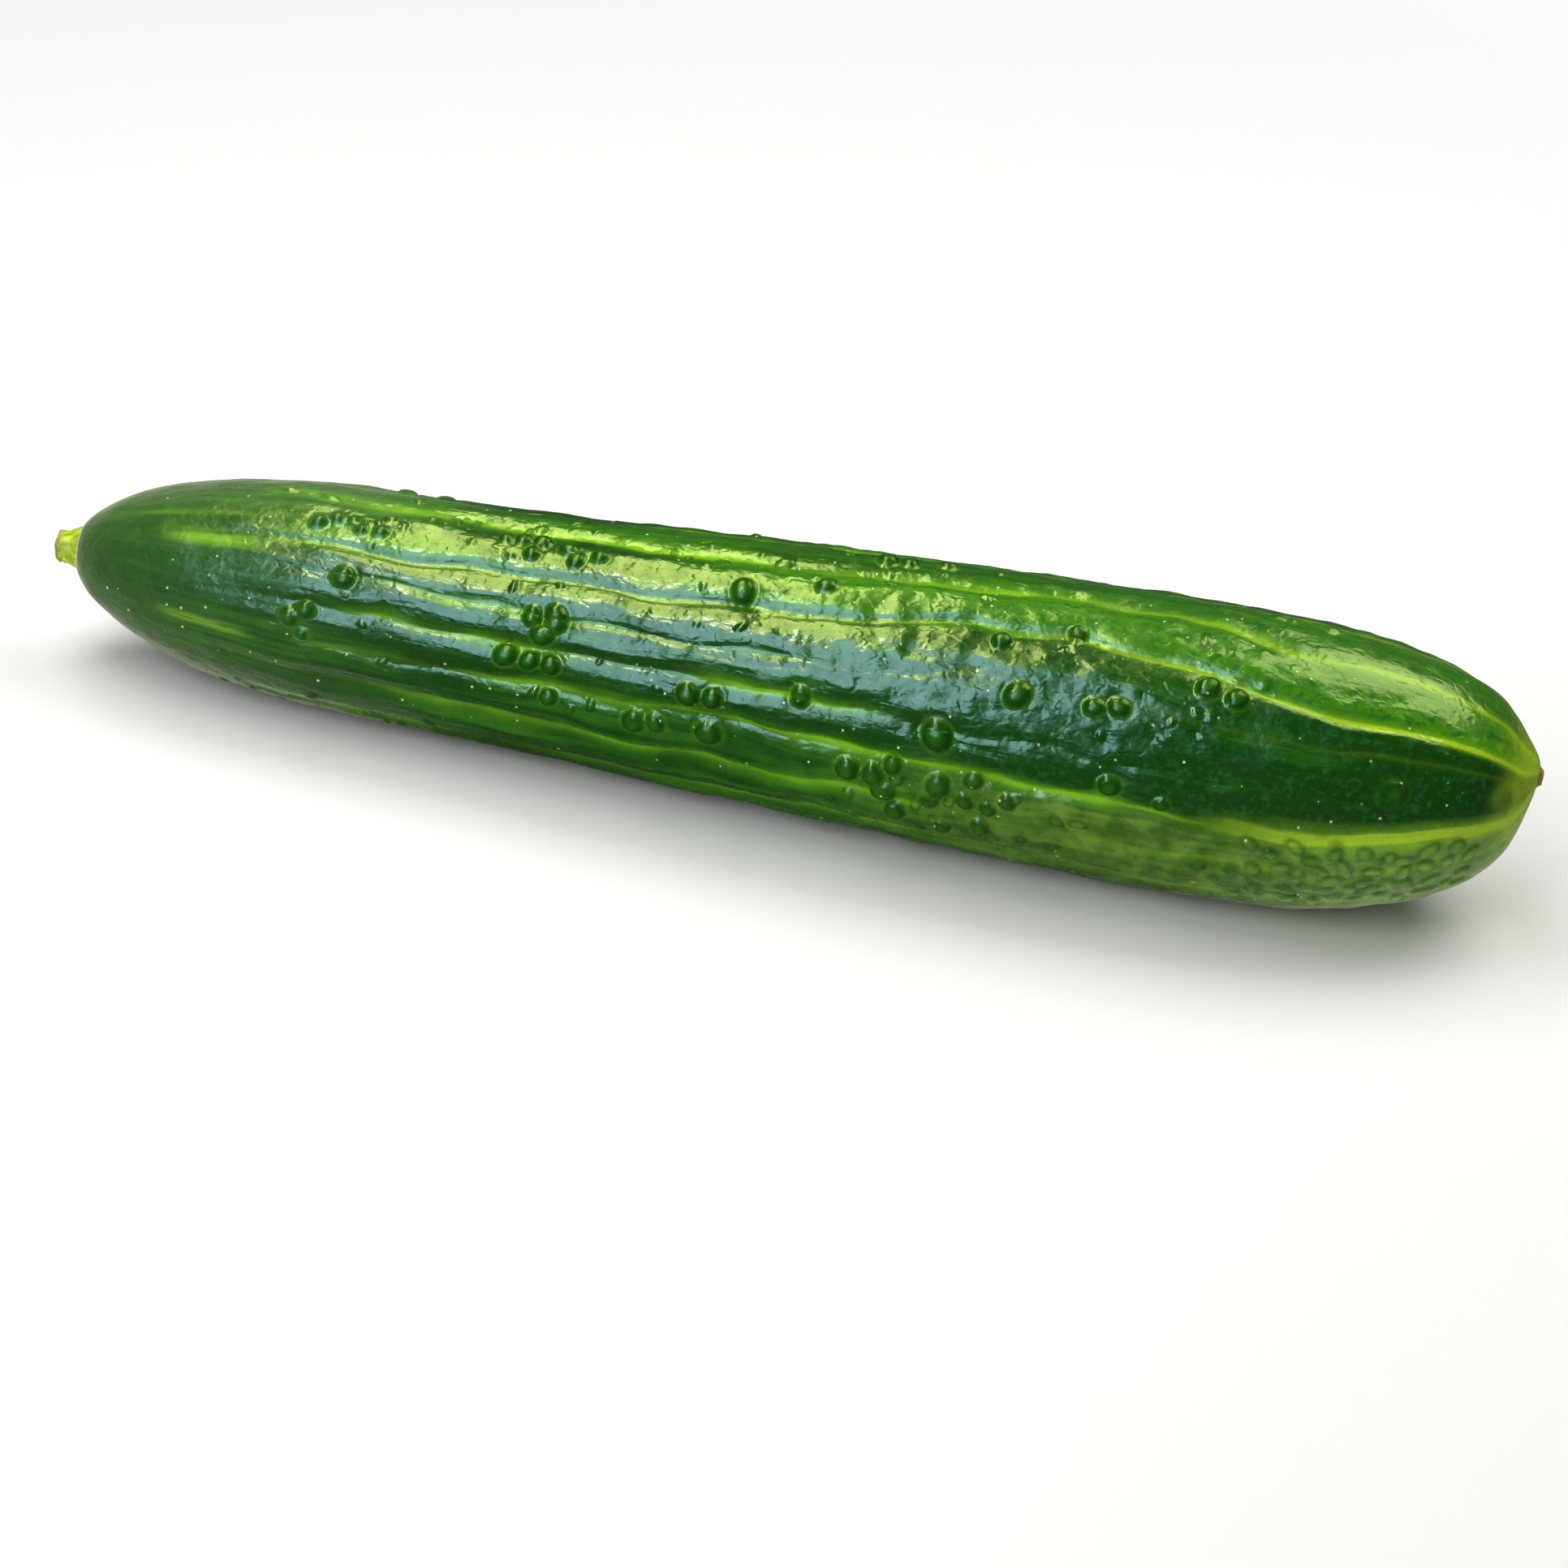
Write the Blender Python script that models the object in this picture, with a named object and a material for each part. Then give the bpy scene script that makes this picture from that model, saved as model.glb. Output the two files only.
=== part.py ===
"""A fresh cucumber lying on a flat surface.

The fruit is one solid: a long body, thicker towards the flower end and gently bent, with rounded
ribs along it and groups of domed warts. The cut stub of its stalk stands in a shallow pit at one
end, and the dry scar of its flower sits on the other. The underside is flattened where it rests.

Metres, +Z up. +X runs from the stalk end to the flower end. The origin is on the surface that the
fruit lies on, under the middle of it.
"""

import math
import random

import bmesh
import bpy
from mathutils import Vector

# ---- Fruit: overall size and outline -------------------------------------------------------
FRUIT_LENGTH = 0.250
MAX_RADIUS = 0.0244
STALK_GIRTH = 0.765  # radius near the stalk, as a share of MAX_RADIUS
GIRTH_RISE = (0.0, 0.80)  # where along the fruit the girth grows to its full size
WAIST = (0.34, 0.12, 0.012)  # a slight waist: where, how long, and how deep as a share of the girth
STALK_CAP = 0.21  # share of the length that rounds off towards the stalk
FLOWER_CAP = 0.22  # and towards the flower
STALK_CAP_POWER = 2.1  # 2 is an ellipse, and more is blunter
FLOWER_CAP_POWER = 2.55
NUB_HEIGHT = 0.0010  # low nub at the flower end
NUB_RADIUS = 0.0055
NUB_FROM = 0.8  # no part of the fruit before this share of its length belongs to the nub
TIP_RISE = 0.0038  # how far the flower tip lies above the middle of its blunt end
TIP_RISE_RADIUS = 0.0110  # rings of the flower end narrower than this rise with it

# ---- Fruit: how it bends and rests ---------------------------------------------------------
SIDE_BEND = 0.0047  # how far the body bows out towards -Y
BEND_SKEW = 2.1  # puts the deepest bow past the middle, towards the flower end
SIDE_SHIFT = 0.0043  # brings the bent body back over the origin
END_LIFT = 0.0005  # how far both ends rise from the surface
REST_CENTRE = 0.54  # where the weight lies along the length
LIFT_POWER = 2.5  # 1 lifts the ends as a straight ramp, and more keeps the middle level
REST_SINK = 0.0005  # depth of the underside that resting flattens

# ---- Fruit: grooves, with rounded ribs between them --------------------------------------------
# Each groove is (degrees above the -Y side, depth as a share of GROOVE_DEPTH, how far along the
# fruit it stays deep). The first lies under the fruit, where the skin is almost smooth.
GROOVES = [
    (-90, 0.15, 0.60),
    (-66, 0.70, 0.62),
    (-43, 0.90, 0.66),
    (-19, 1.00, 0.62),
    (1, 0.85, 0.80),
    (20, 0.90, 0.56),
    (39, 1.00, 0.52),
    (62, 1.00, 0.82),
    (86, 0.85, 0.80),
    (110, 0.90, 0.60),
    (135, 1.00, 0.80),
    (160, 0.80, 0.58),
    (187, 1.00, 0.82),
    (213, 0.85, 0.60),
    (241, 0.60, 0.78),
]
GROOVE_DEPTH = 0.0012
GROOVE_SHARPNESS = 1.7  # 1 is a plain V, and more is a narrow groove between broad ribs
GROOVE_FADE = 0.22  # share of the length over which a groove grows shallow
GROOVE_REST = 0.25  # share of its depth that is left there
GROOVE_START = (0.03, 0.20)  # the grooves grow out of the smooth stalk end here
GROOVE_END = (0.90, 0.99)  # and run out into the flower end here
GROOVE_WANDER = math.radians(1.8)
GROOVE_WAVES = (0.7, 1.6)  # fewest and most sways of a groove along the whole fruit
GROOVE_SEED = 11
COLUMNS_PER_RIB = 4
CARPEL_LOBES = 0.012  # share by which the section bulges in three lobes

# ---- Fruit: ends ---------------------------------------------------------------------------
PIT_RADIUS = 0.0036  # the shallow pit that the stub stands in
PIT_DEPTH = 0.0008
RIM_RADIUS = 0.0046  # radius of the first ring of skin, round the pit
TIP_RADIUS = 0.0017  # and of the last one, under the flower scar

# ---- Mesh fineness -------------------------------------------------------------------------
STALK_CAP_RINGS = 10
BODY_RINGS = 28
FLOWER_CAP_RINGS = 11

# ---- Warts: rows and clusters of domes ---------------------------------------------------------
# Each is (where along the fruit, degrees above the -Y side, half its length as a share of the
# fruit's, half its width in degrees, how many warts, their radius). Those from 110 degrees on lie
# on the far side.
WART_GROUPS = [
    (0.182, 14, 0.009, 9, 3, 0.0014),
    (0.203, 67, 0.027, 3, 6, 0.0014),
    (0.206, 37, 0.001, 1, 1, 0.0018),
    (0.335, 70, 0.040, 5, 7, 0.0014),
    (0.345, 33, 0.013, 6, 3, 0.0017),
    (0.338, 14, 0.020, 2, 4, 0.0016),
    (0.357, -2, 0.001, 1, 1, 0.0015),
    (0.458, 12, 0.010, 1, 2, 0.0017),
    (0.440, -6, 0.030, 2, 4, 0.0019),
    (0.474, 62, 0.001, 1, 1, 0.0020),
    (0.526, 70, 0.001, 1, 1, 0.0015),
    (0.526, 20, 0.001, 1, 1, 0.0018),
    (0.618, 15, 0.001, 1, 1, 0.0026),
    (0.615, -15, 0.055, 16, 13, 0.0018),
    (0.648, 57, 0.001, 1, 1, 0.0020),
    (0.695, 66, 0.001, 1, 1, 0.0017),
    (0.700, 38, 0.040, 3, 3, 0.0017),
    (0.732, 7, 0.001, 1, 1, 0.0016),
    (0.791, 51, 0.010, 1, 2, 0.0021),
    (0.820, -27, 0.024, 5, 4, 0.0016),
    (0.890, -18, 0.045, 14, 6, 0.0014),
    (0.911, 21, 0.001, 1, 1, 0.0023),
    (0.600, 98, 0.050, 2, 3, 0.0016),
    (0.835, 101, 0.020, 2, 3, 0.0014),
    (0.240, 130, 0.050, 12, 6, 0.0016),
    (0.470, 148, 0.055, 14, 7, 0.0018),
    (0.700, 165, 0.050, 14, 7, 0.0018),
    (0.330, 196, 0.060, 10, 6, 0.0017),
    (0.560, 215, 0.050, 8, 5, 0.0018),
    (0.850, 186, 0.040, 16, 6, 0.0015),
]
WART_SEED = 5
WART_SIZE_SPREAD = 0.18  # share by which a wart may differ from its group's radius
WART_HEIGHT = 0.46  # height of a dome, as a share of its radius
WART_SPACING = 1.75  # least distance between two warts, in radii
WART_TRIES = 12  # places drawn for a wart before it is left out
WART_ROOT = 0.0009  # how far a dome goes down into the fruit
WART_ROOT_RADIUS = 0.90  # share of its radius that is left there
WART_PROFILE = [(1.0, 0.10), (0.66, 0.74)]  # (share of the radius, share of the height) of its rings
WART_SIDES = 6
FLOOR_CLEARANCE = 0.0035  # no wart grows lower than this

# ---- Stalk stub and flower scar ------------------------------------------------------------
JOIN_GAP = 0.0003
STUB_BASE_RADIUS = 0.0031
STUB_TIP_RADIUS = 0.0026
STUB_REACH = 0.0034  # how far the stub stands out past the fruit's end
STUB_CUT_SLANT = math.radians(16)
STUB_FLARE = 1.6  # 1 is a plain cone, and more spreads only near the fruit
STUB_RIDGES = 5
STUB_RIDGE_DEPTH = 0.10  # share of the radius
STUB_SIDES = 20
STUB_RINGS = 5
SCAR_RADIUS = 0.0014
SCAR_HEIGHT = 0.0008
SCAR_PROFILE = [(1.0, 0.0), (0.96, 0.45), (0.62, 0.90)]  # (share of the radius, of the height)
SCAR_LUMPS = [(3, 0.08), (5, 0.06)]  # (how many round the scar, how high as a share of its radius)
SCAR_SIDES = 12

# The stub reaches past one end and the scar past the other, so the fruit starts off centre.
START_X = -(FRUIT_LENGTH + NUB_HEIGHT + JOIN_GAP + SCAR_HEIGHT - STUB_REACH) / 2
CARPEL_TURN = math.radians(52)  # where the first of the three lobes bulges, from the -Y side
UNDERSIDE_LOBE = 1 + CARPEL_LOBES * math.cos(3 * (-math.pi / 2 - CARPEL_TURN))

COLOURS = {
    "skin": (0.030, 0.135, 0.012, 1.0),
    "stalk": (0.235, 0.330, 0.020, 1.0),
    "scar": (0.230, 0.110, 0.035, 1.0),
}


def smooth_step(low, high, value):
    """0 below low, 1 above high, and a smooth rise between them."""
    share = min(1.0, max(0.0, (value - low) / (high - low)))
    return share * share * (3 - 2 * share)


def cap_radius(share, power):
    """How round an end is at this share of its cap: 0 at the very end, 1 where the cap ends."""
    inward = 1 - min(1.0, max(0.0, share))
    return (1 - inward**power) ** (1 / power)


def girth(along):
    """The body's radius without its rounded ends."""
    grown = STALK_GIRTH + (1 - STALK_GIRTH) * smooth_step(*GIRTH_RISE, along)
    place, length, depth = WAIST
    waist = 1 - depth * math.exp(-(((along - place) / length) ** 2))
    return MAX_RADIUS * grown * waist


def body_radius(along):
    """The radius over the ribs at this share of the length."""
    stalk = cap_radius(along / STALK_CAP, STALK_CAP_POWER)
    flower = cap_radius((1 - along) / FLOWER_CAP, FLOWER_CAP_POWER)
    return girth(along) * stalk * flower


def groove_depth(index, along):
    """Grooves are deepest over the stalk half. Some run on towards the flower, and none reaches it."""
    _, share, reach = GROOVES[index % len(GROOVES)]
    begin = smooth_step(*GROOVE_START, along)
    shallow = smooth_step(reach - GROOVE_FADE / 2, reach + GROOVE_FADE / 2, along)
    fade = 1 - (1 - GROOVE_REST) * shallow
    end = 1 - smooth_step(*GROOVE_END, along)
    return GROOVE_DEPTH * share * begin * fade * end


def make_wander():
    """(phase, waves along the fruit) of each groove's slow wander, drawn once."""
    draw = random.Random(GROOVE_SEED)
    return [(draw.uniform(0, 2 * math.pi), draw.uniform(*GROOVE_WAVES)) for _ in GROOVES]


WANDER = make_wander()


def groove_angle(index, along):
    """The angle of a groove. An index past the last one goes on round the fruit."""
    turns, index = divmod(index, len(GROOVES))
    phase, waves = WANDER[index]
    sway = 0.0 if index == 0 else GROOVE_WANDER * math.sin(phase + 2 * math.pi * waves * along)
    return math.radians(GROOVES[index][0]) + 2 * math.pi * turns + sway


def rib_angle(along, rib, share):
    """The angle at a share of the way from groove number rib to the next one."""
    start = groove_angle(rib, along)
    end = groove_angle(rib + 1, along)
    return start + (end - start) * share


def rib_at(along, angle):
    """(number of the groove below, share of the way to the next) at an angle."""
    for rib in range(len(GROOVES)):
        start = groove_angle(rib, along)
        end = groove_angle(rib + 1, along)
        offset = (angle - start) % (2 * math.pi)
        if offset <= end - start:
            return rib, offset / (end - start)
    return 0, 0.0


def skin_radius(along, rib, share):
    """The skin's distance from the centreline, at a share of the way across a rib."""
    lobes = 1 + CARPEL_LOBES * math.cos(3 * (rib_angle(along, rib, share) - CARPEL_TURN))
    below = groove_depth(rib, along) * max(0.0, 1 - 2 * share) ** GROOVE_SHARPNESS
    above = groove_depth(rib + 1, along) * max(0.0, 2 * share - 1) ** GROOVE_SHARPNESS
    return body_radius(along) * lobes - below - above


def centre(along):
    """The centreline, bowed sideways, with its underside level on the surface."""
    bow = SIDE_BEND * math.sin(math.pi * along**BEND_SKEW)
    height = girth(along) * UNDERSIDE_LOBE - REST_SINK
    height += END_LIFT * abs((along - REST_CENTRE) / 0.5) ** LIFT_POWER
    if along > NUB_FROM:
        height += TIP_RISE * (1 - smooth_step(0.0, TIP_RISE_RADIUS, body_radius(along)))
    return Vector((START_X + along * FRUIT_LENGTH, SIDE_SHIFT - bow, height))


def direction(angle):
    """The outward direction at an angle: 0 faces -Y, and a quarter turn faces up."""
    return Vector((0, -math.cos(angle), math.sin(angle)))


def skin_point(along, rib, share):
    """A point of the skin, with the low nub at the flower end."""
    radius = skin_radius(along, rib, share)
    point = centre(along) + direction(rib_angle(along, rib, share)) * radius
    if along > NUB_FROM:
        point.x += NUB_HEIGHT * math.exp(-((radius / NUB_RADIUS) ** 2))
    return point


def share_where_radius(target, cap, from_stalk):
    """How far along the fruit its radius reaches a target, near one of its ends."""
    low, high = 0.0, cap
    for _ in range(40):
        middle = (low + high) / 2
        along = middle if from_stalk else 1 - middle
        if body_radius(along) < target:
            low = middle
        else:
            high = middle
    return low if from_stalk else 1 - low


def ring_shares():
    """Where the rings lie along the fruit: evenly along the body, and evenly round each end."""
    rim = share_where_radius(RIM_RADIUS, STALK_CAP, True)
    tip = share_where_radius(TIP_RADIUS, FLOWER_CAP, False)
    first = math.acos(1 - rim / STALK_CAP)
    last = math.acos(1 - (1 - tip) / FLOWER_CAP)
    quarter = math.pi / 2
    stalk = [
        STALK_CAP * (1 - math.cos(first + (quarter - first) * ring / STALK_CAP_RINGS))
        for ring in range(STALK_CAP_RINGS)
    ]
    body_span = 1 - STALK_CAP - FLOWER_CAP
    body = [STALK_CAP + body_span * ring / BODY_RINGS for ring in range(BODY_RINGS)]
    flower = [
        1 - FLOWER_CAP * (1 - math.cos(quarter - (quarter - last) * ring / FLOWER_CAP_RINGS))
        for ring in range(FLOWER_CAP_RINGS + 1)
    ]
    return stalk + body + flower


def ring_points(along):
    """One ring of the skin, with the same number of points on every rib."""
    return [
        skin_point(along, rib, column / COLUMNS_PER_RIB)
        for rib in range(len(GROOVES))
        for column in range(COLUMNS_PER_RIB)
    ]


def bridge(mesh, first, second):
    """Joins two rings of the same size with quads."""
    count = len(first)
    for i in range(count):
        j = (i + 1) % count
        mesh.faces.new((first[i], second[i], second[j], first[j]))


def close_with_fan(mesh, ring, point, facing_start):
    """Closes a ring with triangles to one point."""
    middle = mesh.verts.new(point)
    count = len(ring)
    for i in range(count):
        j = (i + 1) % count
        corners = (ring[i], ring[j], middle) if facing_start else (ring[j], ring[i], middle)
        mesh.faces.new(corners)


def pit_ring(rim):
    """(the edge of the pit's floor, a little in from the rim; the middle of that floor)."""
    middle = sum(rim, Vector()) / len(rim)
    floor = middle + Vector((PIT_DEPTH, 0, 0))
    ring = []
    for point in rim:
        outward = (point - middle).normalized()
        outward.x = 0
        ring.append(floor + outward * PIT_RADIUS)
    return ring, floor


def object_from(mesh, name, colour, roughness):
    """A named object with its own material."""
    data = bpy.data.meshes.new(name)
    bmesh.ops.recalc_face_normals(mesh, faces=mesh.faces[:])
    mesh.to_mesh(data)
    mesh.free()
    material = bpy.data.materials.new(name)
    material.use_nodes = True
    shader = material.node_tree.nodes["Principled BSDF"]
    shader.inputs["Base Color"].default_value = colour
    shader.inputs["Roughness"].default_value = roughness
    shader.inputs["Metallic"].default_value = 0.0
    data.materials.append(material)
    data.shade_smooth()
    obj = bpy.data.objects.new(name, data)
    bpy.context.scene.collection.objects.link(obj)
    return obj


def make_body():
    """The ribbed body with its stalk pit, its flat underside and its flower tip."""
    mesh = bmesh.new()
    rings = [ring_points(along) for along in ring_shares()]
    pit, pit_floor = pit_ring(rings[0])
    rings.insert(0, pit)
    placed = []
    for ring in rings:
        placed.append([mesh.verts.new((p.x, p.y, max(0.0, p.z))) for p in ring])
    for first, second in zip(placed, placed[1:]):
        bridge(mesh, first, second)
    tip = sum(rings[-1], Vector()) / len(rings[-1])
    close_with_fan(mesh, placed[0], pit_floor, True)
    close_with_fan(mesh, placed[-1], tip, False)
    bmesh.ops.triangulate(mesh, faces=mesh.faces[:])
    return object_from(mesh, "fruit", COLOURS["skin"], 0.28), pit_floor, tip


def wart_frame(along, angle):
    """(point on the skin, outward normal) at an angle, from two points beside it."""
    step = 0.002
    turn = 0.01
    here = skin_point(along, *rib_at(along, angle))
    ahead = skin_point(along + step, *rib_at(along + step, angle))
    beside = skin_point(along, *rib_at(along, angle + turn))
    normal = (beside - here).cross(ahead - here).normalized()
    if normal.dot(direction(angle)) < 0:
        normal.negate()
    return here, normal


def place_warts():
    """Draws the warts of every group: [(point, normal, radius), ...], none on top of another."""
    draw = random.Random(WART_SEED)
    warts = []
    for along, degrees, span, turn, count, size in WART_GROUPS:
        for _ in range(count):
            for _attempt in range(WART_TRIES):
                share = along + draw.uniform(-span, span)
                angle = math.radians(degrees + draw.uniform(-turn, turn))
                radius = size * draw.uniform(1 - WART_SIZE_SPREAD, 1 + WART_SIZE_SPREAD)
                point, normal = wart_frame(share, angle)
                clear = all(
                    (point - other).length > WART_SPACING * max(radius, size_there)
                    for other, _, size_there in warts
                )
                if clear and point.z > FLOOR_CLEARANCE:
                    warts.append((point, normal, radius))
                    break
    return warts


def wart_dome(point, normal, radius, collection):
    """One dome with few sides, its root sunk into the fruit."""
    mesh = bmesh.new()
    height = WART_HEIGHT * radius
    turn = normal.to_track_quat("Z", "Y")
    levels = [(WART_ROOT_RADIUS, -WART_ROOT)]
    levels += [(share, rise * height) for share, rise in WART_PROFILE]
    rings = []
    for share, level in levels:
        ring = []
        for side in range(WART_SIDES):
            around = 2 * math.pi * side / WART_SIDES
            flat = Vector((math.cos(around), math.sin(around), 0)) * radius * share
            ring.append(mesh.verts.new(point + turn @ (flat + Vector((0, 0, level)))))
        rings.append(ring)
    for first, second in zip(rings, rings[1:]):
        bridge(mesh, first, second)
    close_with_fan(mesh, rings[0], point - normal * WART_ROOT, True)
    close_with_fan(mesh, rings[-1], point + normal * height, False)
    bmesh.ops.recalc_face_normals(mesh, faces=mesh.faces[:])
    data = bpy.data.meshes.new("wart_dome")
    mesh.to_mesh(data)
    mesh.free()
    collection.objects.link(bpy.data.objects.new("wart_dome", data))


def fuse_warts(fruit):
    """Joins every wart to the body with one Boolean union, and removes the loose domes."""
    collection = bpy.data.collections.new("warts")
    bpy.context.scene.collection.children.link(collection)
    for point, normal, radius in place_warts():
        wart_dome(point, normal, radius, collection)
    union = fruit.modifiers.new("warts", "BOOLEAN")
    union.operation = "UNION"
    union.operand_type = "COLLECTION"
    union.collection = collection
    union.solver = "EXACT"
    bpy.context.view_layer.objects.active = fruit
    bpy.ops.object.modifier_apply(modifier=union.name)
    for dome in list(collection.objects):
        bpy.data.objects.remove(dome)
    bpy.data.collections.remove(collection)
    fruit.data.shade_smooth()


def make_stub(pit_floor):
    """The cut stub of the stalk: a tapered plug with soft ridges and a slanted cut."""
    mesh = bmesh.new()
    base_x = pit_floor.x - JOIN_GAP
    tip_x = START_X - STUB_REACH
    rings = []
    for level in range(STUB_RINGS):
        share = level / (STUB_RINGS - 1)
        radius = STUB_TIP_RADIUS + (STUB_BASE_RADIUS - STUB_TIP_RADIUS) * (1 - share) ** STUB_FLARE
        ring = []
        for side in range(STUB_SIDES):
            around = 2 * math.pi * side / STUB_SIDES
            ridge = 1 - STUB_RIDGE_DEPTH * (0.5 - 0.5 * math.cos(STUB_RIDGES * around))
            out = direction(around) * radius * ridge
            slant = share * math.tan(STUB_CUT_SLANT) * (STUB_TIP_RADIUS - out.z)
            x = base_x + (tip_x - base_x) * share + slant
            ring.append(mesh.verts.new((x, pit_floor.y + out.y, pit_floor.z + out.z)))
        rings.append(ring)
    for first, second in zip(rings, rings[1:]):
        bridge(mesh, first, second)
    mesh.faces.new(rings[0])
    mesh.faces.new(rings[-1])
    return object_from(mesh, "stalk_stub", COLOURS["stalk"], 0.55)


def make_scar(tip):
    """The dry scar of the flower: a small rough button."""
    mesh = bmesh.new()
    base_x = tip.x + JOIN_GAP
    rings = []
    for share, level in SCAR_PROFILE:
        ring = []
        for side in range(SCAR_SIDES):
            around = 2 * math.pi * side / SCAR_SIDES
            rough = 1 + sum(height * math.sin(lumps * around) for lumps, height in SCAR_LUMPS)
            out = direction(around) * SCAR_RADIUS * share * rough
            ring.append(mesh.verts.new((base_x + SCAR_HEIGHT * level, tip.y + out.y, tip.z + out.z)))
        rings.append(ring)
    for first, second in zip(rings, rings[1:]):
        bridge(mesh, first, second)
    mesh.faces.new(rings[0])
    close_with_fan(mesh, rings[-1], (base_x + SCAR_HEIGHT, tip.y, tip.z), False)
    return object_from(mesh, "flower_scar", COLOURS["scar"], 0.85)


def clear_scene():
    """Removes whatever the scene starts with."""
    for obj in list(bpy.data.objects):
        bpy.data.objects.remove(obj)


def main():
    clear_scene()
    fruit, pit_floor, tip = make_body()
    fuse_warts(fruit)
    make_stub(pit_floor)
    make_scar(tip)


main()
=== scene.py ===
import math
import random

import bpy
import numpy as np
from mathutils import Matrix, Vector, noise


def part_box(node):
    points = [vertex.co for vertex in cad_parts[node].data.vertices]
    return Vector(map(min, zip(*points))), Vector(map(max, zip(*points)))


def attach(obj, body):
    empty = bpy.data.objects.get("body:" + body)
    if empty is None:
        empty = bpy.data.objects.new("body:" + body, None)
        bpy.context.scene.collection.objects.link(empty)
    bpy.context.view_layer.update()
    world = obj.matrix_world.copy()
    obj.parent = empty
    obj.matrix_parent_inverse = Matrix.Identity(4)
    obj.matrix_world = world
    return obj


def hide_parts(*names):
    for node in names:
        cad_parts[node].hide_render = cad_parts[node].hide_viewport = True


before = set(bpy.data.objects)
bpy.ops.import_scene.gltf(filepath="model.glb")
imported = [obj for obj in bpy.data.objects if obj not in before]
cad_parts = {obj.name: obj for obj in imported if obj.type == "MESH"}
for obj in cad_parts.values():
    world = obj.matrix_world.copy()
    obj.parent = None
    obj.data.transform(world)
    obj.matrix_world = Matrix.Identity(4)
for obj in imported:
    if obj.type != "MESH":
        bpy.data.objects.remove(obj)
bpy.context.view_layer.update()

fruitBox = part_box("fruit")
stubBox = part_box("stalk_stub")
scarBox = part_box("flower_scar")
print("frame loaded")


def deselectAll():
    if bpy.context.mode != "OBJECT":
        bpy.ops.object.mode_set(mode="OBJECT")
    bpy.ops.object.select_all(action="DESELECT")


def selectOnly(piece):
    deselectAll()
    piece.select_set(True)
    bpy.context.view_layer.objects.active = piece


def smoothPiece(piece):
    selectOnly(piece)
    bpy.ops.object.shade_smooth()


def smoothStep(low, high, value):
    share = np.clip((value - low) / (high - low), 0, 1)
    return share * share * (3 - 2 * share)


camera = {
    "azimuth": 8.0,  # degrees from the front towards the flower end
    "elevation": 30.0,
    "roll": 7.0,  # the fruit lies level, and is seen sloping down to the right
    "distance": 0.741,
    "lens": 100.0,
    "sensor": 36,
    "clip": (0.01, 50),
    "aim": (0.0029, 0.0019, 0.0006),
}


def placeCamera():
    azimuth, elevation = math.radians(camera["azimuth"]), math.radians(camera["elevation"])
    outward = Vector((
        math.sin(azimuth) * math.cos(elevation),
        -math.cos(azimuth) * math.cos(elevation),
        math.sin(elevation),
    ))
    bpy.ops.object.camera_add(location=Vector(camera["aim"]) + outward * camera["distance"])
    eye = bpy.context.object
    eye.name = "camera"
    turn = outward.to_track_quat("Z", "Y").to_matrix().to_4x4()
    eye.rotation_euler = (turn @ Matrix.Rotation(math.radians(camera["roll"]), 4, "Z")).to_euler()
    eye.data.lens = camera["lens"]
    eye.data.sensor_width = camera["sensor"]
    eye.data.clip_start, eye.data.clip_end = camera["clip"]
    bpy.context.scene.camera = eye


placeCamera()
print("camera placed")


fruit = {
    # the outline, as in the solid
    "maxRadius": 0.0244,
    "stalkGirth": 0.765,
    "girthRise": (0.0, 0.80),
    "waist": (0.34, 0.12, 0.012),
    "stalkCap": 0.21,
    "flowerCap": 0.22,
    "stalkCapPower": 2.1,
    "flowerCapPower": 2.55,
    "nubHeight": 0.0010,
    "nubRadius": 0.0055,
    "nubFrom": 0.8,
    "tipRise": 0.0038,
    "tipRiseRadius": 0.0110,
    "rimRadius": 0.0046,
    "tipRadius": 0.0017,
    "pitRadius": 0.0036,
    "pitDepth": 0.0008,
    "pitWall": 0.5,  # share of the way to its middle
    "sideBend": 0.0047,
    "bendSkew": 2.1,
    "sideShift": 0.0043,
    "endLift": 0.0005,
    "restCentre": 0.54,
    "liftPower": 2.5,
    "restSink": 0.0005,
    "carpelLobes": 0.012,
    "carpelTurn": math.radians(52),
    # grooves: degrees above the front, depth, how far along they stay deep, and how yellow a
    # stripe they run into near the flower
    "grooves": [
        (-90, 0.15, 0.60, 0.30),
        (-66, 0.70, 0.62, 0.25),
        (-43, 0.90, 0.66, 0.45),
        (-19, 1.00, 0.62, 0.20),
        (1, 0.85, 0.80, 1.00),
        (20, 0.90, 0.56, 0.00),
        (39, 0.50, 0.52, 0.05),
        (62, 1.20, 0.82, 1.00),
        (86, 0.85, 0.80, 0.45),
        (110, 0.90, 0.60, 0.30),
        (135, 1.00, 0.80, 0.85),
        (160, 0.80, 0.58, 0.20),
        (187, 1.00, 0.82, 0.95),
        (213, 0.85, 0.60, 0.25),
        (241, 0.60, 0.78, 0.80),
    ],
    "grooveDepth": 0.00115,
    "grooveSharpness": 2.4,
    "grooveFade": 0.22,
    "grooveRest": 0.25,
    "grooveStart": (0.05, 0.32),
    "grooveEnd": (0.90, 0.99),
    "grooveWander": math.radians(1.8),
    "grooveWaves": (0.7, 1.6),
    "grooveSeed": 11,
    # how fine the skin is
    "blankRadius": 0.1,  # of the rod that the skin is made from
    "columnsPerRib": 12,
    "stalkRings": 54,
    "bodyRings": 236,
    "flowerRings": 70,
    "pitRings": 6,
}
grooveCount = len(fruit["grooves"])
columnCount = grooveCount * fruit["columnsPerRib"]

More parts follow.
